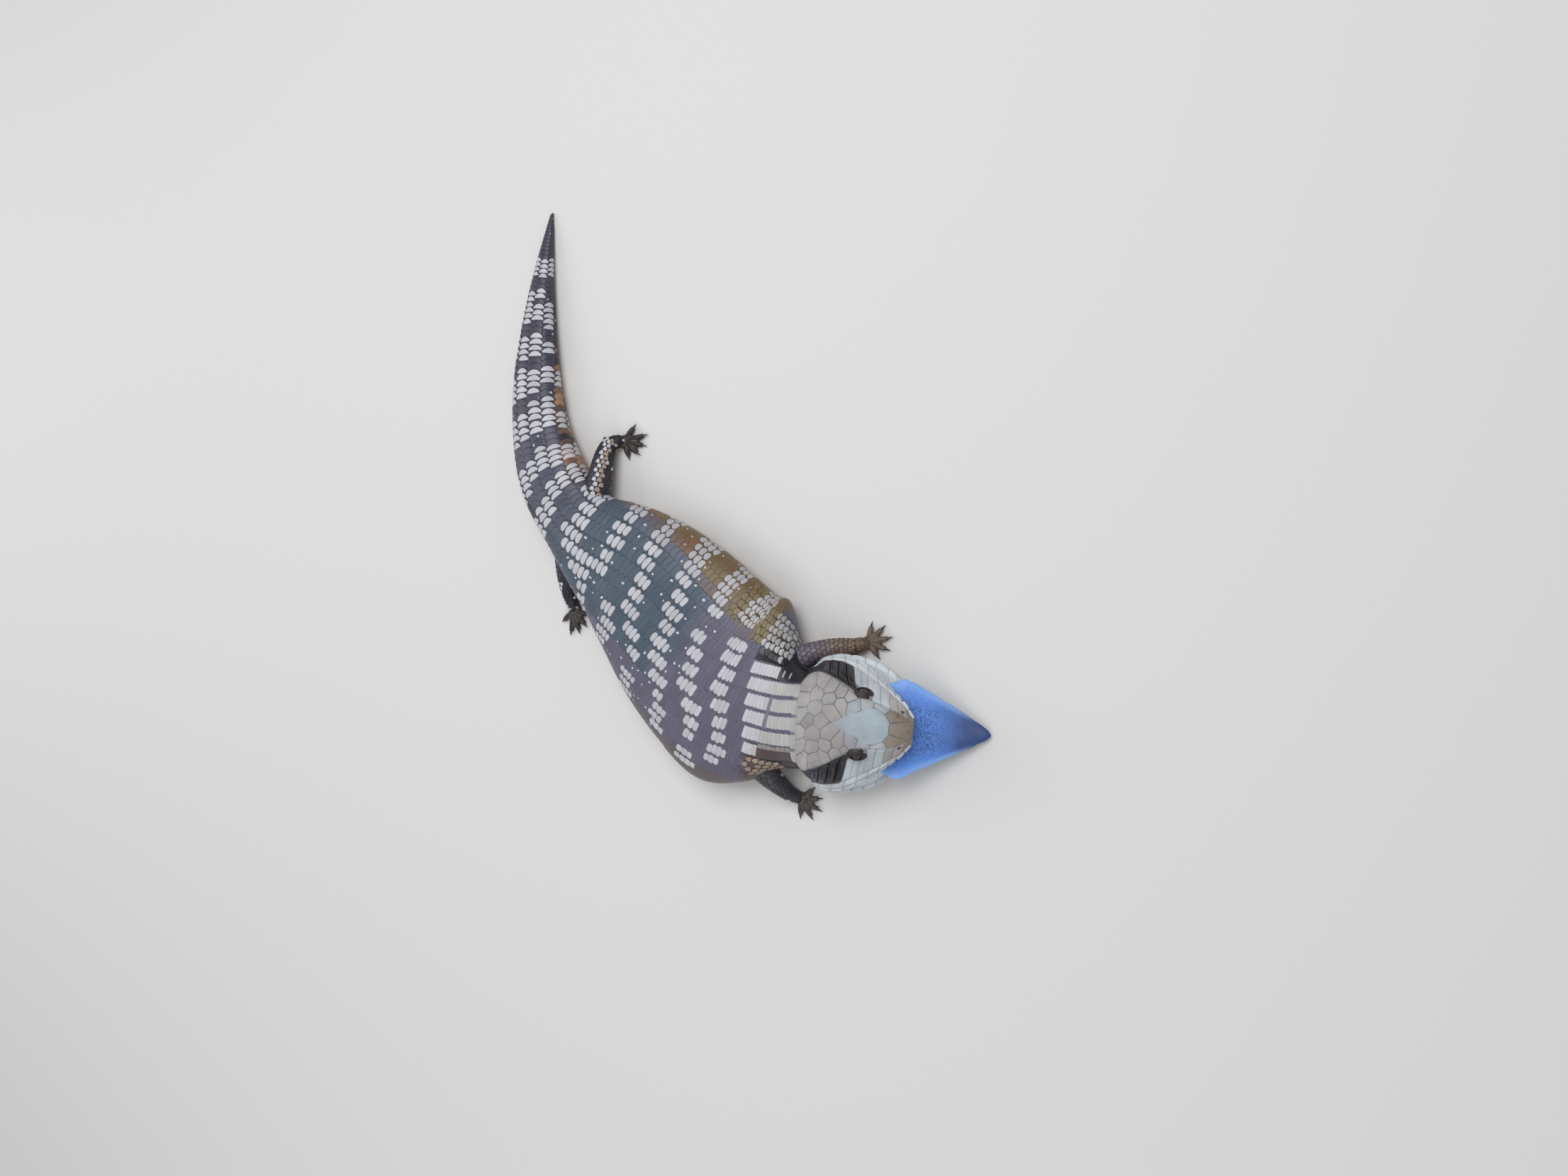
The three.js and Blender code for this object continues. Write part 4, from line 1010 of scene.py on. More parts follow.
def coat_tree():
    """A tree that lays scales on a surface: instances in the flat layout, then moved to their places."""
    tree = bpy.data.node_groups.new("scale_coat", "GeometryNodeTree")
    make = Maker(tree)
    sockets = {"Geometry": "Geometry", "Scale": "Object", "Surface": "Object"}
    sockets |= {"Finish": "Material", "Patch Size": "Float"}
    for name, kind in sockets.items():
        tree.interface.new_socket(name, in_out="INPUT", socket_type="NodeSocket" + kind)
    tree.interface.new_socket("Geometry", in_out="OUTPUT", socket_type="NodeSocketGeometry")
    points, scale, surface, finish, patch_size = make.add("NodeGroupInput", None, None, tuple(sockets))

    def named(name):
        settings = {"data_type": "FLOAT_VECTOR"}
        return make.add("GeometryNodeInputNamedAttribute", settings, {"Name": name}, "Attribute")

    def vector(operation, sockets):
        return make.add("ShaderNodeVectorMath", {"operation": operation}, sockets)

    def mesh_of(thing):
        return make.add("GeometryNodeObjectInfo", None, {"Object": thing}, "Geometry")

    place = make.add("GeometryNodeInputPosition")
    flat = vector("SCALE", {0: place, "Scale": MM})
    on_layout = {"Mesh": mesh_of(surface), "UV Map": named("layout"), "Sample UV": flat}

    def on_surface(name):
        sockets = {**on_layout, "Value": named(name)}
        return make.add("GeometryNodeSampleUVSurface", {"data_type": "FLOAT_VECTOR"}, sockets, "Value")

    sockets = {"Points": points, "Instance": mesh_of(scale)}
    sockets |= {"Rotation": named("turn"), "Scale": named("size")}
    scales = make.add("GeometryNodeInstanceOnPoints", None, sockets, "Instances")
    scales = make.add("GeometryNodeRealizeInstances", None, {"Geometry": scales}, "Geometry")
    lifted = vector("SCALE", {0: on_surface("outward"), "Scale": make.split(place)[2] * MM})
    real = vector("ADD", {0: on_surface("place"), 1: lifted})
    scales = make.add("GeometryNodeSetPosition", None, {"Geometry": scales, "Position": real}, "Geometry")
    within = vector("SCALE", {0: named("local"), "Scale": patch_size})
    baked = vector("ADD", {0: named("root"), 1: within})
    scales = make.add(
        "GeometryNodeStoreNamedAttribute",
        {"data_type": "FLOAT2", "domain": "CORNER"},
        {"Geometry": scales, "Name": "OFBake", "Value": baked},
        "Geometry",
    )
    scales = make.add("GeometryNodeSetMaterial", None, {"Geometry": scales, "Material": finish}, "Geometry")
    make.add("NodeGroupOutput", None, {"Geometry": scales}, None)
    return tree


# The size of a scale's own room in the OFBake layout
PATCH_SIZE = 0.0015
# Where the flat layouts of the patches after the first start, and the room between them
LAYOUT_START = 450
LAYOUT_STEP = 80

# One scale: place in the flat layout, length and half width and height, turn, colours of the ground and
# the pale oval, the oval's place and half sizes, how dark the rim is painted as shade and how square the oval
# is
Scale = namedtuple("Scale", "at size turn ground mark oval rim power", defaults=(NO_OVAL, 0.5, OVAL_POWER))


class Coat:
    """Lays scales on patches of the animal's outside."""

    def __init__(self):
        self.tree = coat_tree()
        self.patches = []
        self.guide = None

    def add_patch(self, patch):
        """Takes in a patch, and returns where its flat layout starts."""
        start = LAYOUT_START + len(self.patches) * LAYOUT_STEP if self.patches else 0
        self.patches.append((patch, start))
        return start

    def make_guide(self):
        """One mesh of all the patches, with their flat layout, places and outward ways."""
        faces, layout, start = [], [], 0
        for patch, across in self.patches:
            rows, columns = patch.around.shape
            i, j = np.meshgrid(np.arange(rows - 1), np.arange(columns - 1), indexing="ij")
            a = start + i * columns + j
            faces += np.stack([a, a + 1, a + columns + 1, a + columns], -1).reshape(-1, 4).tolist()
            layout.append((patch.flat.reshape(-1, 2) + [across, 0]) * MM)
            start += rows * columns
        points = np.concatenate([patch.points.reshape(-1, 3) for patch, _ in self.patches])
        self.guide = mesh_object("coat_guide", points, faces)
        mesh = self.guide.data
        give_vector(mesh, "place", points * MM)
        outward = [patch.normals.reshape(-1, 3) for patch, _ in self.patches]
        give_vector(mesh, "outward", np.concatenate(outward))
        corners = np.empty(len(mesh.loops), np.int32)
        mesh.loops.foreach_get("vertex_index", corners)
        uv = mesh.uv_layers.new(name="layout")
        uv.data.foreach_set("uv", np.concatenate(layout)[corners].astype(np.float32).ravel())

    def fits(self, scale):
        """Whether a scale stays within the flat layout of its patch, from its root to its free edge."""
        (at, out), (length, half_width, _) = scale.at, scale.size
        patch, start = next(entry for entry in reversed(self.patches) if entry[1] <= at)
        reach = half_width + 0.05 * length
        places = np.linspace(at - start, at - start + length, 5)
        low = np.interp(places, patch.along, patch.around.min(1)).max()
        high = np.interp(places, patch.along, patch.around.max(1)).min()
        return low < out - reach and out + reach < high and places[-1] < patch.along[-1]

    def lay(self, name, scales, shape, finish):
        """A coat piece from a list of scales, all of one shape and finish."""
        scales = [scale for scale in scales if self.fits(scale)]
        at = np.array([scale.at for scale in scales])
        points = bpy.data.meshes.new(name)
        points.from_pydata([(x, y, 0.0) for x, y in at], [], [])
        low, high = at.min(0), at.max(0)
        root = (at - low) / np.maximum(high - low, 1e-6) * 0.97 + 0.01
        vectors = {
            "root": np.c_[root, np.zeros(len(at))],
            "size": [scale.size for scale in scales],
            "turn": [(0, 0, scale.turn) for scale in scales],
            "oval": [scale.oval for scale in scales],
            "look": [(scale.rim, scale.power, 0) for scale in scales],
        }
        for key, values in vectors.items():
            give_vector(points, key, values)
        for key in ("ground", "mark"):
            give_colour(points, key, np.array([getattr(scale, key) for scale in scales]))
        thing = linked(name, points)
        modifier = thing.modifiers.new("coat", "NODES")
        modifier.node_group = self.tree
        inputs = {"Scale": shape, "Surface": self.guide, "Finish": finish, "Patch Size": PATCH_SIZE}
        for item in self.tree.interface.items_tree:
            if item.in_out == "INPUT" and item.name in inputs:
                modifier[item.identifier] = inputs[item.name]
        thing = settled(thing)
        attributes = thing.data.attributes
        for spare in ("size", "turn", "root"):
            attributes.remove(attributes[spare])
        return thing


# Things shared between operators
made = {}


def finish_piece(thing, replaced=()):
    """Fixes a piece to the animal's one body and hides the CAD nodes it stands for."""
    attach(thing, "root")
    if replaced:
        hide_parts(*replaced)


FLESH = (
    "neck", "torso_front", "torso_middle", "torso_rear", "tail_base", "tail_middle", "tail_point", "head",
    "lower_jaw", "foreleg_left", "foreleg_right", "hindleg_left", "hindleg_right", "forefoot_left",
    "forefoot_right", "hindfoot_left", "hindfoot_right",
)


def ball(middle, ways, radii, around=24, high=12):
    """Points and faces of a stretched ball, with ways as its three directions."""
    turn = np.linspace(0, 2 * np.pi, around, endpoint=False)
    rise = np.linspace(0, np.pi, high + 1)[1:-1, None]
    ring = np.stack([np.sin(rise) * np.cos(turn), np.sin(rise) * np.sin(turn), np.cos(rise) + 0 * turn], -1)
    axes = np.array(ways) * np.array(radii)[:, None]
    points, faces = closed_tube(ring, tip=np.array([0, 0, -1.0]))
    points[-2] = (0, 0, 1)
    return points @ axes + np.array(middle), faces


def body_rings(step, around, depth):
    """Rings of the body's outside, moved in by a depth and kept off the floor."""
    at = np.append(np.arange(0.1, BACK_END - 1, step), BACK_END - 0.4)[:, None]
    angle = np.linspace(-np.pi, np.pi, around, endpoint=False)[None]
    points = body_point(at, angle)
    across = np.roll(points, -1, 1) - np.roll(points, 1, 1)
    normal = unit(np.cross(across, np.gradient(points, axis=0)) + 1e-9)
    inner = points - normal * np.minimum(depth, back.read("half", at) * 0.3)[..., None]
    inner[..., 2] = np.maximum(inner[..., 2], 0.35)
    return inner


def head_rings(surface, last, depth):
    """Rings of the skull or jaw, moved in by a depth, from its back to near its tip."""
    rows = np.where((surface.at >= 0) & (surface.at <= last))[0]
    rows = rows[(rows % 3 == 0) | (surface.at[rows] > last - 4)]
    rings = surface.grid[rows] - surface.normals[rows] * depth
    return rings[:, ::-1][:, :-1]


def limb_tube(joints, steps, columns, depth, lowest=-1.0):
    """A closed tube through joints, moved in by a depth and kept above a height."""
    patch = limb_patch(joints, steps, columns, 0.0)
    rings = (patch.points - patch.normals * depth)[:, :-1]
    rings[..., 2] = np.maximum(rings[..., 2], lowest)
    return closed_tube(rings)


# How far forward the corner of the mouth reaches
GAPE_FRONT = 50


def mouth_corner(side):
    """The fold of skin that joins the lips behind the tongue."""
    at = np.arange(3, GAPE_FRONT, 1.5)
    upper = skull_surface.lifted(at, 3.93 * side + 0 * at, -0.3 + 0 * at)
    lower = jaw_surface.lifted(at, 1.02 * side + 0 * at, -0.3 + 0 * at)
    way = from_head(0, side, 0) - from_head(0, 0, 0)
    bulge = (0.4 - 3.0 * eased((at - GAPE_FRONT + 9) / 9))[:, None]
    sheet = [upper + (lower - upper) * share + way * bulge for share in (0.12, 0.35, 0.65, 0.9)]
    rings = np.stack([upper, *sheet, lower, lower - way * 4, upper - way * 4], 1)
    return closed_tube(rings if side < 0 else rings[:, ::-1])


def skin_parts(depth):
    """Closed shapes that the skin is made of."""
    parts = [closed_tube(body_rings(2.0, 72, depth)), mouth_corner(1), mouth_corner(-1)]
    for surface, tip, inside in ((skull_surface, SNOUT_TIP, 0.08), (jaw_surface, CHIN_TIP, 0.2)):
        rings = head_rings(surface, tip[0] - 0.3, inside)
        parts.append(closed_tube(rings, tip=from_head(tip[0] - inside, 0, tip[1])))
    for limb, joints in LIMBS.items():
        palm, toes, pad, size, (ahead, left), _ = foot_plan(limb)
        parts += [limb_tube(joints, 30, 33, 0.55), limb_tube(palm, 14, 25, 0.45)]
        long, wide, high = (value - 0.3 for value in size)
        parts.append(ball((pad[0], pad[1], 1.5), (left, ahead, UP), (wide, long, high - 1.5)))
        parts += [limb_tube(toe, 14, 17, 0.2, 0.15) for toe in toes]
    return joined(parts)


def colour_points(colours):
    """Places over the whole animal with the colour that the skin has there."""
    patch, half = made["body"], made["halves"][:, None]
    tint = body_ground(patch.flat[..., 0], np.clip(patch.around, -half, half), half, colours)
    places, tints = [patch.points[::2, ::2].reshape(-1, 3)], [tint[::2, ::2].reshape(-1, 3) * 0.42]
    for surface, paint in ((skull_surface, skull_tint), (jaw_surface, jaw_tint)):
        rows = (surface.at >= 0.5) & (surface.at <= 67)
        at = np.repeat(surface.at[rows][::4, None], len(surface.down[::3]), 1)
        down = np.repeat(surface.down[::3][None], at.shape[0], 0)
        places.append(surface.grid[rows][::4, ::3].reshape(-1, 3))
        tints.append(paint(at, down, colours).reshape(-1, 3))
    for limb in LIMBS:
        for patch, kind in made["limbs"][limb]:
            tint = limb_ground(limb, kind, patch, colours)
            places.append(patch.points[::2, ::2].reshape(-1, 3))
            tints.append(tint[::2, ::2].reshape(-1, 3) * 0.5)
    return np.concatenate(places), np.concatenate(tints)


def skull_tint(at, down, colours):
    """Skin of the skull between its shields: grooves on the crown, pale sides and a lined mouth."""
    side = np.abs(down)
    tint = blend(colours["groove"], colours["cheek_groove"], (side - 2.2) / 0.5)
    tint = blend(tint, colours["snout"], (at - 60) / 4)
    front = 37.2 - 10 * (side - 1.36) / 1.6
    black = eased((side - 1.25) / 0.1) * eased((2.99 - side) / 0.05) * eased((front + 0.2 - at) / 0.5)
    tint = blend(tint, colours["black"], black)
    tint = blend(tint, colours["cheek"], (side - 3.8) / 0.1)
    tint = blend(tint, colours["lining"], (side - 4.3) / 0.3)
    return tint


def jaw_tint(at, down, colours):
    """Skin of the lower jaw: a lined mouth, pale sides and a belly-coloured throat."""
    side = np.abs(down)
    tint = blend(colours["lining"], colours["cheek"], (side - 0.5) / 0.3)
    return blend(tint, colours["belly"], (side - 2.2) / 0.8)


def limb_ground(limb, kind, patch, colours):
    """Ground colour of a limb or foot over its flat layout."""
    share = np.broadcast_to((patch.along / patch.along.max())[:, None], patch.around.shape)
    patchy = noise_at(patch.flat + [sorted(LIMBS).index(limb) * 50, 0], 5, 5)
    start, end = colours[limb + "_start"], colours[limb + "_end"]
    tint = blend(start, end, share * 1.6 - 0.4 if kind == "limb" else 1 + 0 * share)
    if kind == "toe":
        tint = blend(end, colours["toe"], (share * 0.8 + patchy * 0.3) * (1 if limb == "fore_left" else 0.35))
    around = np.abs(patch.around)
    under = eased((around / (around.max(1, keepdims=True) - PAST) - 0.62) / 0.15)
    tint = blend(tint, colours["belly"], under * 0.7)
    return tint * (1 + 0.15 * patchy[..., None])


def make_patches():
    """The flat layouts that everything else is laid on."""
    made["body"], made["halves"] = body_patch()
    made["limbs"] = {}
    for limb, joints in LIMBS.items():
        palm, toes, *_ = foot_plan(limb)
        patches = [(limb_patch(joints), "limb"), (limb_patch(palm, 20, 41), "palm")]
        made["limbs"][limb] = patches + [(limb_patch(toe, 16, 25), "toe") for toe in toes]


# Scales of the coat

# How far out from the crest the left flank starts, where the ovals are rounder and duller
FLANK_FROM = 34

# Where rounder scales stand in rows of their own: distances along the back and out from the crest,
# distance between them, and their width
COBBLES = {
    "shoulder": ((14, 52), (31, 62), 4.1, 4.7),
    "neck_fold": ((5, 24), (-44, -29), 3.2, 3.7),
    "flank": ((54, 80), (39.5, 83), 4.2, 4.9),
}


def half_round(at):
    """Half the length of the body's outline at a distance along it."""
    return np.interp(at, made["body"].along, made["halves"])


def body_scales(first, last, colours, random):
    """Scales of the body between two distances along the back."""
    blotches = blotch_columns()
    scales = []
    for row in row_places():
        if not first <= row < last:
            continue
        pitch, stagger = straight(ROW_PITCH, row), straight(STAGGER, row)
        numbers, outs, half_widths = column_places(row)
        half = half_round(row)
        keep = np.abs(outs) < half + half_widths * 0.4
        for number, out, half_width in zip(numbers[keep], outs[keep], half_widths[keep]):
            chance = random.random(7)
            if any(a < row < b and low < out < high for (a, b), (low, high), *_ in COBBLES.values()):
                continue
            at = row + pitch * stagger * (number % 2) + (chance[1] - 0.5) * pitch * 0.1
            shown = at + pitch * SCALE_LENGTH * SHOWN_MIDDLE
            ground = body_ground(shown, out, half, colours)
            mark, oval, rim = mark_of(shown, number, out, half, ground, blotches, colours, chance, pitch)
            height = straight(RELIEF, row) * (0.9 + 0.2 * chance[3])
            scales.append(Scale(
                at=(max(0.1, at), out + (chance[2] - 0.5) * half_width * 0.2 * stagger),
                size=(pitch * SCALE_LENGTH, half_width * (1.08 + 0.14 * stagger), height),
                turn=(chance[4] - 0.5) * 0.05,
                ground=ground * (0.92 + 0.16 * chance[0]),
                mark=mark,
                oval=oval,
                rim=rim,
                power=straight(PALE_POWER, row) * (0.8 if out > FLANK_FROM else 1),
            ))
    return scales


# Where the columns of the back have drawn in enough for one more column of cobbles beside them
COBBLES_MORE_FROM = 62
COBBLE_OVAL = (0.0, 0.88, 0.245)


def cobble_mark(name, n, at, out, colours, chance):
    """Colour of the pale part of a cobble, or None where it has none."""
    pale, olive = colours["pale"], colours["olive"]
    if name == "neck_fold":
        return colours["cobble"] * (0.75 + 0.35 * chance[5]) if at < 22 and chance[2] < 0.85 else None
    band = np.interp(out, [44, 56], [69.5, 67])
    if name == "flank" and n > 0 and abs(at + 6 - band) < 10.5 and out < 78:
        return blend(pale, olive, chance[5] * 0.2 + max(0, out - 55) * 0.012) * 0.86
    if at > 38 and out > 36:
        return olive * (1.0 + 0.35 * chance[5])
    if FLANK_FROM < out < 58:
        return blend(pale, olive, chance[5] * (0.45 if out > 42 else 0.15)) * 0.86
    return pale * 0.8 if chance[2] < 0.35 and at < 25 and out < FLANK_FROM else None


def cobble_scales(colours, random):
    """Round cobbles over the left shoulder, behind it, and in the right neck fold."""
    scales = []
    for name, ((first, last), (low, high), pitch, width) in COBBLES.items():
        rows = np.arange(first - 1, last, pitch)
        for n, out in enumerate(np.arange(low - width / 2, high, width)):
            for row in rows[rows > COBBLES_MORE_FROM] if n == 0 else rows:
                chance = random.random(6)
                at = row + pitch * (0.5 * (n % 2) + (chance[1] - 0.5) * 0.12)
                ground = body_ground(at + pitch, out, half_round(at), colours)
                mark = cobble_mark(name, n, at, out, colours, chance)
                oval = NO_OVAL if mark is None else COBBLE_OVAL
                mark = ground if mark is None else mark
                if name != "neck_fold" and at <= 38 and FLANK_FROM < out < 58:
                    ground = blend(ground, colours["olive"], 0.35)
                spot = (max(0.1, at), out + (chance[3] - 0.5) * width * 0.12)
                size = (pitch * SCALE_LENGTH * 0.95, width * 0.56, 0.7 * (0.9 + 0.2 * chance[4]))
                scales.append(Scale(spot, size, (chance[0] - 0.5) * 0.2, ground, mark, oval, 0.65))
    return scales


# How far along the back each of the nape's cream stripes reaches, by distance out from the crest
STRIPE_ENDS = [(-30, 22), (-23, 30), (-14, 33), (-5, 34.5), (4, 37), (14, 38.5), (23, 41), (30, 34)]


def mark_of(at, number, out, half, ground, blotches, colours, chance, pitch):
    """Colour and oval of the pale part of one scale of the body, and how dark its rim is painted as shade."""
    pale, cream = colours["pale"], colours["cream"]
    # The rim's darkness is painted shade at the scale's sides and free edge.
    rim = straight(RIM_SHADE, at) * (0.8 + 0.4 * chance[6])
    # Cream stripes of the nape
    if -26 < out < 26 and at < straight(STRIPE_ENDS, out):
        if 17.4 < at < 20.6 and -10 < out < 10:
            return blend(colours["front"], colours["shield"], 0.25), (0.0, 0.95, 0.6), 0.0
        # Painted highlight: in the right neck fold each scale is lighter along its upper side, the top edge
        # of the fold.
        if -26 < out < -17.5 and at < 21:
            return blend(colours["fold"], cream, 0.5), (0.7, 0.3, 0.8), 0.3
        return blend(cream, pale, (at - 18) / 8) * (0.95 + 0.1 * chance[5]), (0.0, 0.73, 0.8), 0.06
    wide = straight(PALE_WIDE, at) * (0.94 + 0.14 * chance[1])
    long = straight(PALE_LONG, at) * (0.95 + 0.1 * chance[5])
    for place, column, length in blotches:
        if column == number and abs(at - place) <= length + 0.1 * pitch:
            tint = pale * (0.9 + 0.16 * chance[5])
            if out > FLANK_FROM:
                tint, wide, rim = tint * 0.82, 0.93, 0.75
            if abs(out) / half > 0.66:
                tint = blend(colours["belly_pale"], pale, 0.3)
            end = 1 - 0.14 * (abs(at - place) > length - 0.7 * pitch)
            return tint, ((chance[0] - 0.5) * 0.14, wide * end, long), rim
    if 4 < at < 26 and 21 < out < 30 and chance[2] < 0.45:
        return pale * 0.75, (0.0, 0.5, 0.14), 0.3
    # White flecks between the bands
    fleck = 0.26 * eased((at - 72) / 20) * eased((216 - at) / 14) + 0.12 * eased((at - 230) / 20)
    if chance[3] < fleck and abs(out) / half < 0.6:
        oval = ((chance[4] - 0.5) * 1.4, 0.08 + 0.09 * chance[0], 0.07 + 0.07 * chance[1])
        return colours["fleck"] * (0.75 + 0.3 * chance[5]), oval, rim * 0.5
    return ground, NO_OVAL, rim * 0.45


# Distance between scales, their width and height, for each part of a limb
LIMB_SCALES = {"limb": (3.1, 4.4, 0.75), "palm": (2.4, 3.4, 0.5), "toe": (1.75, 2.3, 0.34)}
# Share of each limb's scales that carry a white dot
DOTTED = {"hind_left": 0.05, "hind_right": 0.25, "fore_right": 0.03, "fore_left": 0.0}


def limb_mark(limb, kind, share, tint, colours, chance):
    """Colour and oval of the pale part of one scale of a limb, at a share of the way round; on the left
    foreleg that part is a painted highlight.
    """
    pale = colours["pale"]
    if limb == "hind_left" and kind == "limb" and (0 < share < 0.14 or chance[1] < DOTTED[limb]):
        return pale, (0.0, 0.72, 0.22)
    if limb == "hind_left" and kind == "limb" and 0.14 < share < 0.3:
        return colours["cobble"], (0.0, 0.8, 0.23)
    if kind != "toe" and chance[1] < DOTTED[limb] and abs(share) < 0.7:
        return pale * (0.8 + 0.3 * chance[2]), (0.0, 0.7, 0.22)
    # Painted highlight: each scale of the left foreleg gets a lighter spot on its rounded top.
    if limb == "fore_left" and kind == "limb":
        return tint * 1.35, (0.0, 0.6, 0.16)
    return tint, NO_OVAL


def limb_scales(limb, patch, kind, start, colours, random):
    """Scales of one limb, palm or toe, rising towards its far end."""
    pitch, width, rise = LIMB_SCALES[kind]
    length = patch.along[-1]
    ground = limb_ground(limb, kind, patch, colours)
    scales = []
    row, at = 0, 0.3
    while at < length - pitch * 0.9:
        i = patch.row_at(at + pitch)
        around = patch.around[i]
        turn = np.abs(around).max() - PAST
        count = 5 if kind == "toe" else 2 * max(3, round(turn / (width * (1 - 0.35 * at / length))))
        step = 2 * turn / count
        shift = 0.5 if kind == "toe" else 0.5 * (row % 2) + 0.25
        for n in range(count):
            out = -turn + (n + shift) * step
            chance = random.random(6)
            j = int(np.clip(np.searchsorted(around, out), 0, len(around) - 1))
            tint = ground[i, j] * (0.8 + 0.4 * chance[0])
            size = (min(pitch * SCALE_LENGTH, length - at - 0.1), step * 0.56, rise * (0.9 + 0.2 * chance[3]))
            marked = limb_mark(limb, kind, out / turn, tint, colours, chance)
            scales.append(Scale((start + at, out), size, (chance[4] - 0.5) * 0.1, tint, *marked))
        at += pitch * (1 - 0.15 * at / length)
        row += 1
    return scales


def surface_patch(surface, first, last, columns):
    """Part of the skull or jaw as a patch that runs backwards, with its middle column at 0."""
    rows = np.where((surface.at >= last) & (surface.at <= first))[0][::-3]
    points = surface.grid[np.ix_(rows, columns)]
    arc = np.cumsum(np.linalg.norm(np.diff(points, axis=1), axis=2), axis=1)
    arc = np.concatenate([np.zeros((len(rows), 1)), arc], 1)
    return Patch(points, surface.at[rows[0]] - surface.at[rows], arc - arc[:, [len(columns) // 2]])


# How far forward of the skull's back the throat's, nape's and ears' patches start, and where they end
THROAT_START, THROAT_END = 59.5, -2.5
NAPE_START = 5.5
EAR_PATCH_START = 15.0
PATCH_END = -3.0
NAPE_PITCH = 1.9
NAPE_HALF = 40.0
EAR_FREE = 3.4


def throat_patch():
    """The underside of the lower jaw, laid flat from the chin back to the neck."""
    down = jaw_surface.down
    sides = (down >= 1.9, (down <= -1.9) & (down > -jaw_surface.reach))
    columns = [np.where(side)[0][::2] for side in sides]
    return surface_patch(jaw_surface, THROAT_START, THROAT_END, np.concatenate(columns))


def nape_patch():
    """The back of the skull, where the scales of the neck run up to the shields."""
    columns = np.where(np.abs(skull_surface.down) <= 1.8)[0]
    return surface_patch(skull_surface, NAPE_START, PATCH_END, columns)


def ear_patch(side):
    """The side of the skull's back, from the streak behind the eye to the neck."""
    down = skull_surface.down * side
    columns = np.where((down >= 1.2) & (down <= 3.15))[0]
    return surface_patch(skull_surface, EAR_PATCH_START, PATCH_END, columns)


def ear_scales(side, patch, start, colours, random):
    """Small black scales behind the streak, with the ear's opening left free."""
    ear = from_head(EAR_AT, EAR_OUT * side, EAR_UP)
    spot = np.unravel_index(np.linalg.norm(patch.points - ear, axis=-1).argmin(), patch.around.shape)
    ear_at, ear_out = patch.flat[spot]
    paint = lambda chance: blend(colours["black"], colours["streak_rear"], 0.5 * chance[0])
    scales = loose_scales(patch, start, 2.3, 3.3, 0.45, EAR_PATCH_START, paint, random)
    shown = lambda scale: scale.at[0] - start + scale.size[0] * SHOWN_MIDDLE
    return [scale for scale in scales if math.hypot(shown(scale) - ear_at, scale.at[1] - ear_out) > EAR_FREE]


def loose_scales(patch, start, pitch, width, rise, length, paint, random):
    """Rows of scales over a patch, from its start to a given length."""
    scales = []
    row, at = 0, 0.2
    while at < length:
        around = patch.around[patch.row_at(at + pitch)]
        size = (min(pitch * SCALE_LENGTH, patch.along[-1] - at - 0.1), width * 0.56, rise)
        for n in range(math.floor(around.min() / width), math.ceil(around.max() / width) + 1):
            out = (n + 0.5) * width if row % 2 else n * width
            if around.min() + width * 0.6 < out < around.max() - width * 0.6:
                chance = random.random(4)
                tint = paint(chance)
                scales.append(Scale((start + at, out), size, (chance[2] - 0.5) * 0.08, tint, tint, rim=0.25))
        at += pitch
        row += 1
    return scales


def throat_tint(colours):
    """A function that gives a scale of the throat its colour."""
    belly, pale = colours["belly"], colours["pale"]
    return lambda chance: blend(belly, pale, 0.5 * chance[0]) * (0.9 + 0.2 * chance[1])


def nape_scales(patch, start, colours, random):
    """The last rows of the neck's columns, on the back of the skull, greyer towards the shields."""
    _, outs, half_widths = column_places(1.0)
    ground = body_ground(1.0, 0.0, NAPE_HALF, colours)
    scales = []
    for at in np.arange(0.2, NAPE_START, NAPE_PITCH):
        around = patch.around[patch.row_at(at + NAPE_PITCH)]
        cream = blend(colours["shield"], colours["cream"], at / NAPE_START)
        under = blend(cream, ground, 0.3 + 0.7 * at / NAPE_START)
        for out, half_width in zip(outs, half_widths):
            reach = half_width * 1.15
            if around.min() + reach < out < around.max() - reach:
                chance = random.random(4)
                size = (NAPE_PITCH * SCALE_LENGTH, half_width * 1.08, 0.22)
                mark = cream * (0.94 + 0.1 * chance[1])
                turn = (chance[2] - 0.5) * 0.05
                scales.append(Scale((start + at, out), size, turn, under, mark, (0.0, 0.78, 0.8), 0.1))
    return scales


# Head shields

# How far the crown's shields reach out past its edge, by distance forward
CROWN_OVER = [(0, 3), (8, 3.2), (20, 3.0), (28, 2.2), (35, 1.0), (70, 0.9)]

# Rows of shields down the side of the head: how far down a cross-section each row starts and ends,
# where its shields end, how far the first and last one's lower edges lie back, and its height
SIDE_ROWS = {
    "temporal_fold": (1.36, 2.96, (12.5, 18, 24.5, 31, 37.2), (5.5, 10), 1.0),
    "under_eye": (1.95, 2.96, (33.6, 38.6, 42.6, 46.4), (6.3, 5.0), 0.25),
    "loreal": (1.15, 2.96, (46.5, 51.5, 56.5), (5.0, 4.5), 0.3),
    "snout_side": (1.1, 2.96, (56.6, 61.5, 66.5), (4.5, 4.0), 0.3),
    "cheek_lower": (3.0, 3.37, (5, 13.5, 22, 30, 38, 45, 51.5, 57, 61), (2.0, 2.0), 0.25),
    "upper_labial": (3.4, 3.95, (5, 12, 20, 28, 36, 43, 49.5, 55.5, 60), (1.5, 1.5), 0.3),
    "rostral": (3.05, 3.9, (60.2, 64.5, 68.3), (0.0, 0.0), 0.35),
}
LOWER_LABIALS = (1.0, 1.95, (13, 22, 30, 37, 44, 50, 55.5, 60), (1.0, 1.0), 0.4)


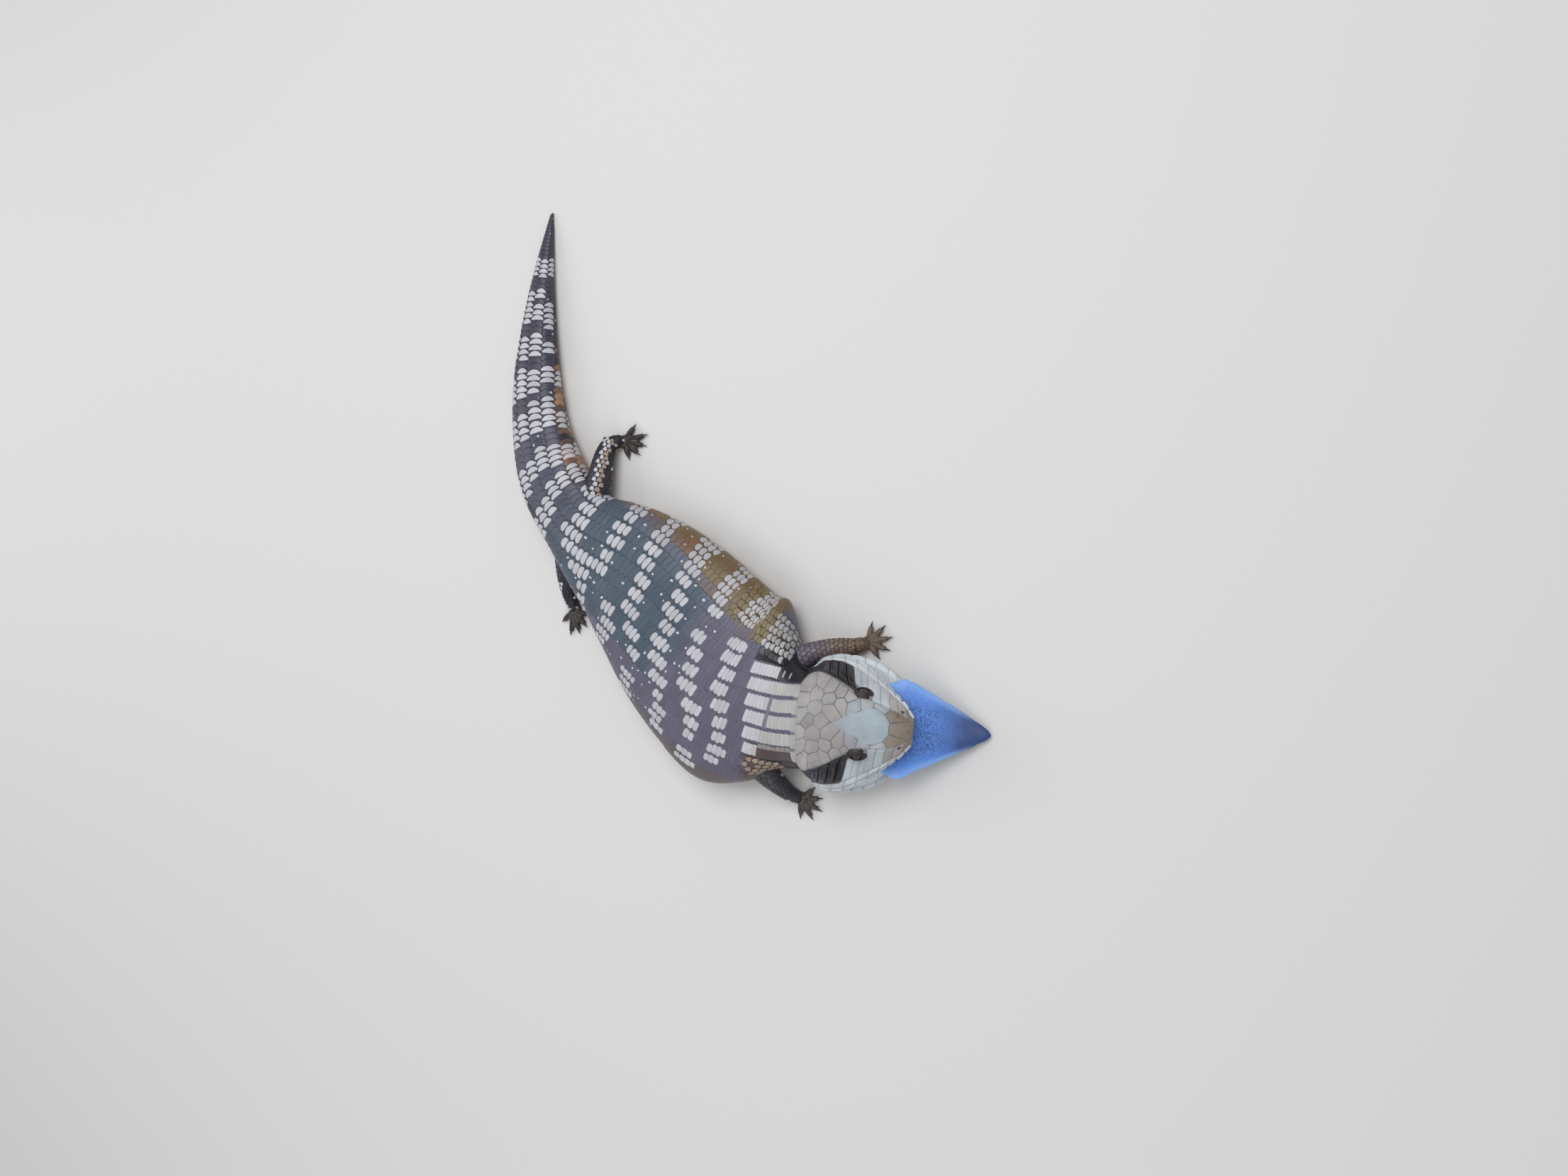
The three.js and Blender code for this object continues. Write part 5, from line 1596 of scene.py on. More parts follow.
def clipped(points, place, way):
    """The part of an outline on the near side of a line through a place, with way to the far side."""
    side = [(p[0] - place[0]) * way[0] + (p[1] - place[1]) * way[1] for p in points]
    out = []
    for i, p in enumerate(points):
        j = (i + 1) % len(points)
        if side[i] <= 0:
            out.append(p)
        if (side[i] <= 0) != (side[j] <= 0):
            t = side[i] / (side[i] - side[j])
            out.append((p[0] + (points[j][0] - p[0]) * t, p[1] + (points[j][1] - p[1]) * t))
    return out


def crown_outlines():
    """Outlines of the crown's shields in plan: the ground nearest each middle, less the frontal shield."""
    middles = []
    for name, (at, out) in CROWN_SHIELDS.items():
        middles += [(name, (at, side)) for side in ((out, -out) if out else (out,))]
    frontal = FRONTAL + [(at, -out) for at, out in FRONTAL[:0:-1]]
    stops = (1.5, 7, 13, 20, 27, 34, 41, 48, 55, 61, 65, 68)
    snout = lambda at: math.sqrt(max(0.1, 1 - max(0, (at - 66) / 3.4) ** 2))
    edge = lambda at: float(skull.read("edge_out", at)) * snout(at) + float(straight(CROWN_OVER, at))
    crown = [(at, edge(at)) for at in stops]
    crown += [(at, -edge(at) * float(right_share.read("share", at))) for at in stops[::-1]]
    outlines = [("frontal", frontal)]
    for name, middle in middles:
        cell = crown
        for _, other in middles:
            if other == middle or not cell:
                continue
            length = math.dist(middle, other)
            way = ((other[0] - middle[0]) / length, (other[1] - middle[1]) / length)
            reach = length / 2 - GROOVE
            cell = clipped(cell, (middle[0] + way[0] * reach, middle[1] + way[1] * reach), way)
        sides = []
        for p, q in zip(frontal, [*frontal[1:], frontal[0]]):
            length = math.dist(p, q)
            inward = ((q[1] - p[1]) / length, -(q[0] - p[0]) / length)
            sides.append(((p[0] - middle[0]) * inward[0] + (p[1] - middle[1]) * inward[1], p, inward))
        # The frontal shield's side that faces the middle
        _, p, inward = max(sides, key=lambda side: side[0])
        cell = clipped(cell, (p[0] - inward[0] * 2 * GROOVE, p[1] - inward[1] * 2 * GROOVE), inward)
        if len(cell) > 2:
            outlines.append((name, cell))
    return outlines


def divided(points, longest):
    """An outline with points added along its sides, its corners rounded a little."""
    out = []
    for p, q in zip(points, [*points[1:], points[0]]):
        count = max(1, round(math.dist(p, q) / longest))
        out += [(p[0] + (q[0] - p[0]) * k / count, p[1] + (q[1] - p[1]) * k / count) for k in range(count)]
    out = np.array(out)
    return out * 0.6 + (np.roll(out, 1, 0) + np.roll(out, -1, 0)) * 0.2


def wobbled(outline, size, amount, seed):
    """An outline shifted by smooth noise, the same for neighbours that share an edge."""
    shift = np.stack([noise_at(outline, size, seed), noise_at(outline, size, seed + 1)], -1)
    return outline + shift * amount


# Inset from a shield's edge in millimetres and height as a share, for a flat shield and for a soft lobe
FLAT_PROFILE = ((0.0, 0.15), (0.12, 0.5), (0.32, 0.82), (0.8, 0.96))
SOFT_PROFILE = ((0.0, 0.1), (0.12, 0.42), (0.4, 0.68), (0.85, 0.86), (1.5, 0.97))


def shield(outline, surface, height, dome, radius, profile=FLAT_PROFILE):
    """Points, faces and inward distances of one raised shield on a surface of the head."""
    middle = outline.mean(0)
    steps = [(0.0, -1.0)]
    steps += [(min(0.9, inset / radius), height * lift) for inset, lift in profile]
    domed = [share for share in (0.45, 0.72) if share > steps[-1][0]]
    steps += [(share, height + dome * (1 - (1 - share) ** 2)) for share in domed]
    rings, inward = [], []
    for share, lift in steps:
        flat = outline + (middle - outline) * share
        rings.append(surface.lifted(flat[:, 0], flat[:, 1], np.full(len(flat), lift)))
        inward.append(np.full(len(flat), share * radius / 3))
    rings = np.array(rings)
    top = surface.lifted(middle[None, 0], middle[None, 1], np.array([height + dome]))[0]
    points, faces = closed_tube(rings, tip=top)
    return points, faces, np.r_[np.concatenate(inward), 0.0, 1.0]


def facing_out(outline):
    """An outline turned so that its faces point away from the head."""
    x, y = outline[:, 0], outline[:, 1]
    area = np.sum(x * np.roll(y, -1) - np.roll(x, -1) * y)
    return outline[::-1] if area < 0 else outline


def row_outlines(row, side):
    """Outlines of one row of side shields, as pairs of a distance forward and a place down."""
    start, end, ends, slants, _ = row
    back_by = np.interp(ends, (ends[0], ends[-1]), slants)
    middle = (start + end) / 2
    outlines = []
    for a, b, slant_a, slant_b in zip(ends, ends[1:], back_by, back_by[1:]):
        a, b = a + GROOVE, b - GROOVE
        corners = [(a, start), (b, start), (b - slant_b / 2, middle), (b - slant_b, end)]
        corners += [(a - slant_a, end), (a - slant_a / 2, middle)]
        outlines.append([(at, down * side) for at, down in corners])
    return outlines


def eye_place(side):
    """The eye's middle and its ways along the slit, outward and across it."""
    out = EYE_OUT[side]
    middle = from_head(EYE_AT, out * side, EYE_UP)
    ahead, outward, upward = EYE_FACING
    way_out = unit(from_head(EYE_AT + ahead, (out + outward) * side, EYE_UP + upward) - middle)
    forward = unit(from_head(EYE_AT + 1, out * side, EYE_UP - 0.3) - middle)
    across = unit(np.cross(forward, way_out))
    long = unit(np.cross(way_out, across))
    return middle, way_out, across, long


# Height of the small scales on the lids
LID_BEAD = 0.17


def lid_rings(side, beads=30, rows=5):
    """A ring of lid round an almond opening, with rows of small scales on it."""
    middle, out, across, long = eye_place(side)
    turn = np.linspace(0, 2 * np.pi, beads * 7, endpoint=False)
    slit = np.stack([SLIT_LONG * np.cos(turn), SLIT_HIGH * power(np.sin(turn), 1.3)], -1)
    rim = np.stack([(LID_LONG - 0.15) * np.cos(turn), (LID_ACROSS - 0.1) * np.sin(turn)], -1)
    steps = np.concatenate([[0.0, 0.02, 0.05], np.linspace(0.1, 0.95, rows * 6), [1.0, 1.1]])
    rings, rise, spread = [], [], []
    for share in steps:
        spread.append(share + 0 * turn)
        flat = slit + (rim - slit) * min(share, 1.0)
        inside = np.clip(1 - (flat[:, 0] / LID_LONG) ** 2 - (flat[:, 1] / LID_ACROSS) ** 2, 0.0, 1)
        height = LID_OUT * np.sqrt(inside)
        if share <= 0.05:
            height = height - (0.05 - share) * 9
        place = share * rows
        row = math.floor(place)
        around = turn / (2 * np.pi) * beads + 0.5 * (row % 2)
        bead = (around - np.floor(around) - 0.5) ** 2 * 3.4 + (place - row - 0.5) ** 2 * 3.4
        bump = LID_BEAD * np.clip(1 - bead, 0, 1) if 0.05 < share < 1 else 0 * turn
        height = height + bump - max(0.0, share - 0.9) * 12
        rings.append(middle + out * height[:, None] + long * flat[:, [0]] + across * flat[:, [1]])
        rise.append(bump / LID_BEAD)
    depth = np.sqrt(np.clip((EYE_RADIUS - 0.35) ** 2 - (slit**2).sum(1), 0, None))
    rings.insert(0, middle + out * depth[:, None] + long * slit[:, [0]] * 0.97 + across * slit[:, [1]] * 0.97)
    rise.insert(0, 0 * turn)
    spread.insert(0, 0 * turn)
    return np.array(rings), np.array(rise), np.array(spread)


# Settings


def length(name, description, default):
    """A setting in millimetres."""
    return bpy.props.FloatProperty(
        name=name, description=description, default=default * MM, unit="LENGTH", precision=5
    )


def colour(name, default):
    """A setting for a colour, given as it is seen."""
    return bpy.props.FloatVectorProperty(
        name=name,
        description=f"Colour of the {name.lower()}",
        default=seen(*default),
        size=4,
        subtype="COLOR",
        min=0,
        max=1,
    )


class SkinkSizes(bpy.types.PropertyGroup):
    """Sizes of the skin and scales"""

    coat_depth: length("Coat depth", "How far the skin lies inside the outside of the scales", 0.55)
    skin_step: length("Skin step", "Side of the skin's faces", 1.15)
    shield_height: length("Shield height", "How far the head's shields stand up", 0.22)
    shield_side: length("Shield side", "Longest side along a shield's outline", 0.9)


class SkinkColours(bpy.types.PropertyGroup):
    """Colours of the skin and scales"""

    front: colour("Front of the back", (99, 96, 112))
    rear: colour("Middle of the back", (75, 89, 101))
    hips: colour("Hips", (78, 78, 93))
    tail: colour("Tail", (62, 60, 76))
    pale: colour("Pale blotches", (196, 195, 198))
    fleck: colour("White flecks", (215, 222, 226))
    cream: colour("Nape stripes", (182, 180, 175))
    olive: colour("Olive flank", (112, 98, 62))
    rust: colour("Rusty flank", (120, 84, 62))
    brown: colour("Brown flank", (104, 92, 84))
    cobble: colour("Brown cobbles", (168, 146, 126))
    orange: colour("Tail's lower flank", (165, 122, 92))
    fold: colour("Neck fold", (86, 70, 66))
    black: colour("Black folds", (28, 27, 32))
    groove: colour("Grooves between shields", (146, 142, 137))
    cheek_groove: colour("Grooves on the cheeks", (190, 192, 190))
    lining: colour("Mouth lining", (160, 124, 124))
    belly: colour("Belly", (172, 150, 120))
    belly_pale: colour("Belly bars", (205, 192, 168))
    shield: colour("Crown shields", (168, 165, 161))
    kite: colour("Frontal shield", (172, 186, 192))
    snout: colour("Snout", (140, 129, 114))
    cheek: colour("Cheeks", (208, 216, 217))
    streak: colour("Streak behind the eye", (26, 25, 31))
    streak_rear: colour("Rear of the streak", (58, 54, 72))
    lid: colour("Lids", (44, 38, 38))
    iris: colour("Iris", (98, 46, 30))
    pupil: colour("Pupil", (10, 8, 10))
    tongue_root: colour("Root of the tongue", (100, 153, 240))
    # The tip's colour is darkened as painted shade, where the tongue bends down.
    tongue_tip: colour("Tip of the tongue", (50, 72, 126))
    claw: colour("Claws", (40, 34, 34))
    toe: colour("Toes", (120, 100, 92))
    fore_left_start: colour("Left shoulder", (98, 92, 108))
    fore_left_end: colour("Left forefoot", (104, 84, 68))
    fore_right_start: colour("Right shoulder", (70, 66, 66))
    fore_right_end: colour("Right forefoot", (46, 42, 50))
    hind_left_start: colour("Left hip", (50, 48, 58))
    hind_left_end: colour("Left hindfoot", (32, 29, 36))
    hind_right_start: colour("Right hip", (62, 58, 72))
    hind_right_end: colour("Right hindfoot", (34, 31, 40))


def palette(context):
    """The colours by name, in linear light."""
    settings = context.scene.skink_colours
    return {name: np.array(getattr(settings, name))[:3] for name in SkinkColours.__annotations__}


def solid(colour):
    """A colour as a node's socket takes it."""
    return (*colour, 1.0)


# Operators


class SKINK_OT_skin(bpy.types.Operator):
    """Make the skin under the scales, in one piece from the snout to the tail"""

    bl_idname = "skink.skin"
    bl_label = "Skin"

    # How many places each point of the skin takes its colour from
    NEAR_TINTS = 5

    def execute(self, context):
        sizes, colours = context.scene.skink_sizes, palette(context)
        make_patches()
        points, faces = skin_parts(sizes.coat_depth / MM)
        thing = mesh_object("skin", points, faces)
        remesh = thing.modifiers.new("one skin", "REMESH")
        remesh.mode = "VOXEL"
        remesh.voxel_size = sizes.skin_step
        soften = thing.modifiers.new("soften", "SMOOTH")
        soften.factor = 0.5
        soften.iterations = 2
        thing = settled(thing)
        mesh = thing.data
        mesh.shade_smooth()
        places, tints = colour_points(colours)
        tree = kdtree.KDTree(len(places))
        for index, place in enumerate(places * MM):
            tree.insert(place, index)
        tree.balance()
        here = self.read(mesh, "co")
        found = [tree.find_n(place, self.NEAR_TINTS) for place in here]
        near = np.array([[index for _, index, _ in close] for close in found])
        away = np.array([[distance for *_, distance in close] for close in found])
        weight = 1 / (away + 0.2 * MM) ** 2
        give_colour(mesh, "tint", (tints[near] * weight[..., None]).sum(1) / weight.sum(1)[:, None])
        here = self.sunk_ears(mesh, here)
        mesh.vertices.foreach_set("co", here.ravel())
        mesh.update()
        mesh.materials.clear()
        mesh.materials.append(skin_finish("skin"))
        finish_piece(thing, FLESH)
        return {"FINISHED"}

    def read(self, mesh, name):
        """A vector of every point of a mesh."""
        values = np.empty(len(mesh.vertices) * 3, np.float32)
        mesh.vertices.foreach_get(name, values)
        return values.reshape(-1, 3)

    def sunk_ears(self, mesh, here):
        """The skin's points with a hollow at each ear."""
        normals = self.read(mesh, "normal")
        for side in (1, -1):
            ear = from_head(EAR_AT, EAR_OUT * side, EAR_UP) * MM
            distance = np.linalg.norm((here - ear) / np.array([2.6, 2.6, 3.4]) / MM, axis=1)
            here = here - normals * (2.4 * MM * eased(1.25 - distance))[:, None]
        return here


class SKINK_OT_coat(bpy.types.Operator):
    """Lay the scales on the body, tail, limbs and throat"""

    bl_idname = "skink.coat"
    bl_label = "Scales"

    # The body's coat pieces, with the distances along the back that each one covers
    REGIONS = {
        "coat_neck": (0, 60),
        "coat_chest": (60, 115),
        "coat_middle": (115, 190),
        "coat_rear": (190, 290),
        "coat_tail": (290, 435),
    }
    LEGS = {"coat_forelegs": ("fore_left", "fore_right"), "coat_hindlegs": ("hind_left", "hind_right")}

    def execute(self, context):
        colours = palette(context)
        random = np.random.RandomState(7)
        coat = Coat()
        coat.add_patch(made["body"])
        limbs = {name: [(*part, coat.add_patch(part[0])) for part in made["limbs"][name]] for name in LIMBS}
        throat, nape, ears = throat_patch(), nape_patch(), {side: ear_patch(side) for side in (1, -1)}
        throat_start, nape_start = coat.add_patch(throat), coat.add_patch(nape)
        ear_starts = {side: coat.add_patch(patch) for side, patch in ears.items()}
        coat.make_guide()
        straight_edged = scale_shape("straight_scale", 0.07, 0.1, 0.06)
        curved = scale_shape("curved_scale", 0.2, 0.16, 0.22)
        rounded = scale_shape("rounded_scale", 0.3, 0.22, 0.4)
        finish = scale_finish("scale", 0.42)

        def lay(name, scales, shape=rounded):
            """One coat piece."""
            finish_piece(coat.lay(name, scales, shape, finish))

        for name, (first, last) in self.REGIONS.items():
            shape = straight_edged if last < 100 else curved if last < 200 else rounded
            lay(name, body_scales(first, last, colours, random), shape)
        lay("coat_cobbles", cobble_scales(colours, random))
        for name, pair in self.LEGS.items():
            scales = []
            for limb in pair:
                for patch, kind, start in limbs[limb]:
                    scales += limb_scales(limb, patch, kind, start, colours, random)
            lay(name, scales)
        paint = throat_tint(colours)
        lay("coat_throat", loose_scales(throat, throat_start, 3.4, 5.0, 0.6, 57, paint, random))
        lay("coat_nape", nape_scales(nape, nape_start, colours, random), straight_edged)
        scales = []
        for side, patch in ears.items():
            scales += ear_scales(side, patch, ear_starts[side], colours, random)
        lay("coat_ears", scales)
        guide_mesh = coat.guide.data
        bpy.data.objects.remove(coat.guide)
        bpy.data.meshes.remove(guide_mesh)
        for shape in (straight_edged, curved, rounded):
            bpy.data.objects.remove(shape)
        return {"FINISHED"}


class SKINK_OT_shields(bpy.types.Operator):
    """Make the shields of the crown, cheeks and lips"""

    bl_idname = "skink.shields"
    bl_label = "Head shields"

    def execute(self, context):
        sizes, colours = context.scene.skink_sizes, palette(context)
        random = np.random.RandomState(11)
        height, side_length = sizes.shield_height / MM, sizes.shield_side / MM
        lots = {"crown_shields": [], "side_shields": [], "temporal_folds": [], "lower_labials": []}
        for name, outline in crown_outlines():
            flat = wobbled(divided(outline, side_length), 7, 0.45, 5)
            middle = flat.mean(0)
            radius = float(np.hypot(*(flat - middle).T).mean())
            placed = np.array([(at, skull_surface.down_to(at, out)) for at, out in flat])
            parts = shield(facing_out(placed), skull_surface, height, 0.35, radius)
            lots["crown_shields"].append((*parts, self.crown_tint(name, middle, colours, random)))
        for name, row in {**SIDE_ROWS, "lower_labial": LOWER_LABIALS}.items():
            surface = jaw_surface if name == "lower_labial" else skull_surface
            lot, looks = {
                "temporal_fold": ("temporal_folds", (0.7, 2.6, SOFT_PROFILE)),
                "lower_labial": ("lower_labials", (0.25, 3.0)),
            }.get(name, ("side_shields", (0.25, 3.0)))
            for side in (1, -1):
                for corners in row_outlines(row, side):
                    outline = facing_out(self.divided_side(corners, side_length))
                    tint = self.side_tint(name, outline.mean(0), colours, random)
                    lots[lot].append((*shield(outline, surface, row[4], *looks), tint))
        for side in (1, -1):
            lots["side_shields"] += self.nostril(side, colours)
        finishes = {
            "crown_shields": shield_finish("crown_shield", 0.5, 0.45, 0.45),
            "temporal_folds": shield_finish("temporal_fold", 0.27, 0.0, 0.2),
        }
        cheek_finish = shield_finish("cheek_shield", 0.5, 0.2, 0.2)
        for name, parts in lots.items():
            points, faces = joined([part[:2] for part in parts])
            thing = mesh_object(name, points, faces, finishes.get(name, cheek_finish))
            inward = np.concatenate([share for _, _, share, _ in parts])
            give_vector(thing.data, "local", np.c_[inward, 0 * inward, 0 * inward])
            tints = [np.tile(tint, (len(places), 1)) for places, _, _, tint in parts]
            give_colour(thing.data, "tint", np.concatenate(tints))
            finish_piece(thing)
        return {"FINISHED"}

    def nostril(self, side, colours):
        """A raised rim on one side of the snout, round a black disc that is painted shade for the nostril's
        opening.
        """
        at, down = NOSTRIL_AT, NOSTRIL_DOWN * side
        middle = skull_surface.lifted(at, down, 0.5)
        out = unit(skull_surface.lifted(at, down, 1.5) - middle)
        across = unit(np.cross(out, skull_surface.lifted(at + 0.5, down, 0.5) - middle))
        ahead = np.cross(out, across)
        around, thick = 28, 10
        turn = np.linspace(0, 2 * np.pi, around, endpoint=False)[:, None, None]
        tube = np.linspace(0, 2 * np.pi, thick, endpoint=False)[None, :, None]
        away = ahead * np.cos(turn) + across * np.sin(turn)
        rim = middle + ahead * NOSTRIL_LONG * np.cos(turn) + across * NOSTRIL_WIDE * np.sin(turn)
        rim = rim + NOSTRIL_RIM * (away * np.cos(tube) + out * np.sin(tube))
        faces = tube_faces(around, thick, looped=True)
        snout = blend(colours["snout"], colours["lid"], 0.35)
        radii = (NOSTRIL_LONG, NOSTRIL_WIDE, 0.2)
        # The hollow is a flat black ball: painted shade inside the nostril's opening.
        hollow, hollow_faces = ball(middle - out * 0.15, (ahead, across, out), radii)
        return [
            (rim.reshape(-1, 3), faces, np.full(around * thick, 0.5), snout),
            (hollow, hollow_faces, np.full(len(hollow), 0.5), colours["pupil"]),
        ]

    def divided_side(self, corners, side_length):
        """A side shield's outline, where one unit down is about eight millimetres."""
        scaled = [(at, down * 8) for at, down in corners]
        flat = divided(scaled, side_length)
        flat = wobbled(flat, 5, 0.25, 9)
        return flat / [1, 8]

    def crown_tint(self, name, middle, colours, random):
        """Colour of one shield of the crown."""
        at = middle[0]
        tint = colours["shield"]
        if name == "frontal":
            tint = colours["kite"]
        elif at > 57:
            tint = colours["snout"]
        elif name in ("prefrontal", "supraocular_front", "brow_front"):
            tint = blend(colours["shield"], colours["kite"], 0.5)
        dark = 0.8 if name == "occipital" else 1.0
        return tint * dark * (0.92 + 0.14 * random.random_sample())

    def side_tint(self, name, middle, colours, random):
        """Colour of one shield of the cheeks or lips."""
        at, down = middle
        # Shields on the left are painted lighter and those on the right darker: painted light on the left
        # side and painted shade on the right
        light = 1.12 if down > 0 else 0.94
        if name == "temporal_fold":
            light = 1.0
            tint = blend(colours["streak_rear"], colours["streak"], (at - 10) / 10)
        elif name in ("loreal", "under_eye"):
            tint = blend(colours["cheek"], colours["kite"], 0.4)
        elif name == "snout_side":
            tint = blend(colours["cheek"], colours["snout"], 0.6)
        elif name == "upper_labial":
            tint = blend(colours["cheek"], colours["kite"], (at - 36) / 12)
        else:
            tint = colours["cheek"]
        return np.clip(tint * light * (0.92 + 0.12 * random.random_sample()), 0, 1)


class SKINK_OT_eyes(bpy.types.Operator):
    """Make the eyes and their lids"""

    bl_idname = "skink.eyes"
    bl_label = "Eyes and lids"

    def execute(self, context):
        colours = palette(context)
        finish = eye_finish("eye", solid(colours["iris"]), solid(colours["pupil"]))
        lid_finish = shield_finish("lid", 0.45, 0.2)
        for side, name in ((1, "left"), (-1, "right")):
            middle, out, across, long = eye_place(side)
            points, faces = ball(middle, (long, across, out), (EYE_RADIUS,) * 3, 48, 32)
            eye = mesh_object("eyeball_" + name, points, faces, finish)
            around = points - middle
            local = np.stack([around @ long, around @ across, around @ out], -1) / EYE_RADIUS
            give_vector(eye.data, "local", local)
            finish_piece(eye, ("eye_" + name,))
            rings, rise, spread = lid_rings(side)
            faces = tube_faces(*rings.shape[:2], looped=True)
            lid = mesh_object("lids_" + name, rings.reshape(-1, 3), faces, lid_finish)
            rise = rise.ravel()
            give_vector(lid.data, "local", np.c_[0.12 + rise * 0.3, 0 * rise, 0 * rise])
            above = ((rings - middle) @ across).ravel() * self.above(across)
            behind = -((rings - middle) @ long).ravel() * self.ahead(long)
            tint = blend(colours["cheek"], colours["shield"], (above + 1) / 2)
            tint = blend(tint, colours["black"], behind - 1.5)
            share = spread.ravel() + noise_at(np.c_[above, behind], 1.3, 6) * 0.1
            give_colour(lid.data, "tint", blend(colours["lid"], tint, (share - 0.86) / 0.1))
            finish_piece(lid)
        return {"FINISHED"}

    def above(self, across):
        """1 if a way leads up towards the crown, and -1 if it leads down."""
        return math.copysign(1, across[2])

    def ahead(self, long):
        """1 if a way leads towards the snout, and -1 if it leads back."""
        return math.copysign(1, long @ (from_head(1, 0, 0) - from_head(0, 0, 0)))


class SKINK_OT_tongue(bpy.types.Operator):
    """Make the tongue, pushed out over the lower lip"""

    bl_idname = "skink.tongue"
    bl_label = "Tongue"

    ROWS = 90
    AROUND = 64

    def execute(self, context):
        colours = palette(context)
        at = np.linspace(TONGUE[0][0], TONGUE[-1][0], self.ROWS)
        angle = np.linspace(0, 2 * np.pi, self.AROUND, endpoint=False)
        out, up, half, thick = (tongue.read(name, at)[:, None] for name in ("out", "up", "half", "thick"))
        flat = np.stack([at[:, None] + 0 * angle, 40 * np.sin(angle) + 0 * at[:, None]], -1)
        bumps = 0.35 * noise_at(flat, 4.5, 3) + 0.2 * noise_at(flat, 1.8, 4)
        half = half + bumps * eased((103 - at) / 8)[:, None]
        across = power(np.sin(angle), 0.9)[None]
        rise = power(np.cos(angle), 0.9)[None]
        groove = 0.35 * np.exp(-((across * half / 2.2) ** 2)) * np.clip(rise, 0, 1)
        groove = groove * eased((98 - at) / 20)[:, None]
        grid = from_head(at[:, None] + 0 * across, out + half * across, up + thick * rise - groove)
        points, faces = closed_tube(grid[:, ::-1])
        finish = tongue_finish("tongue", solid(colours["tongue_root"]), solid(colours["tongue_tip"]))
        thing = mesh_object("tongue_skin", points, faces, finish)
        along = np.repeat((at - 55) / 50, self.AROUND)
        local = np.c_[along, np.tile(across[0][::-1], self.ROWS), 0 * along]
        give_vector(thing.data, "local", np.concatenate([local, [[-0.5, 0, 0], [1, 0, 0]]]))
        finish_piece(thing, ("tongue",))
        return {"FINISHED"}


class SKINK_OT_claws(bpy.types.Operator):
    """Make the claws"""

    bl_idname = "skink.claws"
    bl_label = "Claws"

    def execute(self, context):
        colours = palette(context)
        finish = plain_finish("claw", solid(colours["claw"]), 0.3, 0.3)
        for end in ("fore", "hind"):
            limbs = (end + "_left", end + "_right")
            parts = [self.claw(*claw) for limb in limbs for claw in foot_plan(limb)[5]]
            finish_piece(mesh_object("claws_" + end, *joined(parts), finish))
        return {"FINISHED"}

    def claw(self, place, way):
        """A curved claw, flattened a little from side to side."""
        t = np.linspace(0, 1, 9)[:, None]
        rise = 0.55 * np.sin(np.pi * t * 0.8) - 1.4 * t * t
        middle = place + way * (CLAW_LENGTH + 0.6) * t + UP * rise
        middle[:, 2] = np.maximum(middle[:, 2], 0.25)
        radius = CLAW_RADIUS * (1 - t**1.6) * 0.95 + 0.06
        angle = np.linspace(-np.pi, np.pi, 12, endpoint=False)[None, :, None]
        away = np.cross(way, UP) * 0.75 * np.sin(angle) + UP * np.cos(angle)
        rings = middle[:, None] + radius[:, None] * away
        rings[..., 2] = np.maximum(rings[..., 2], 0.02)
        return closed_tube(rings)


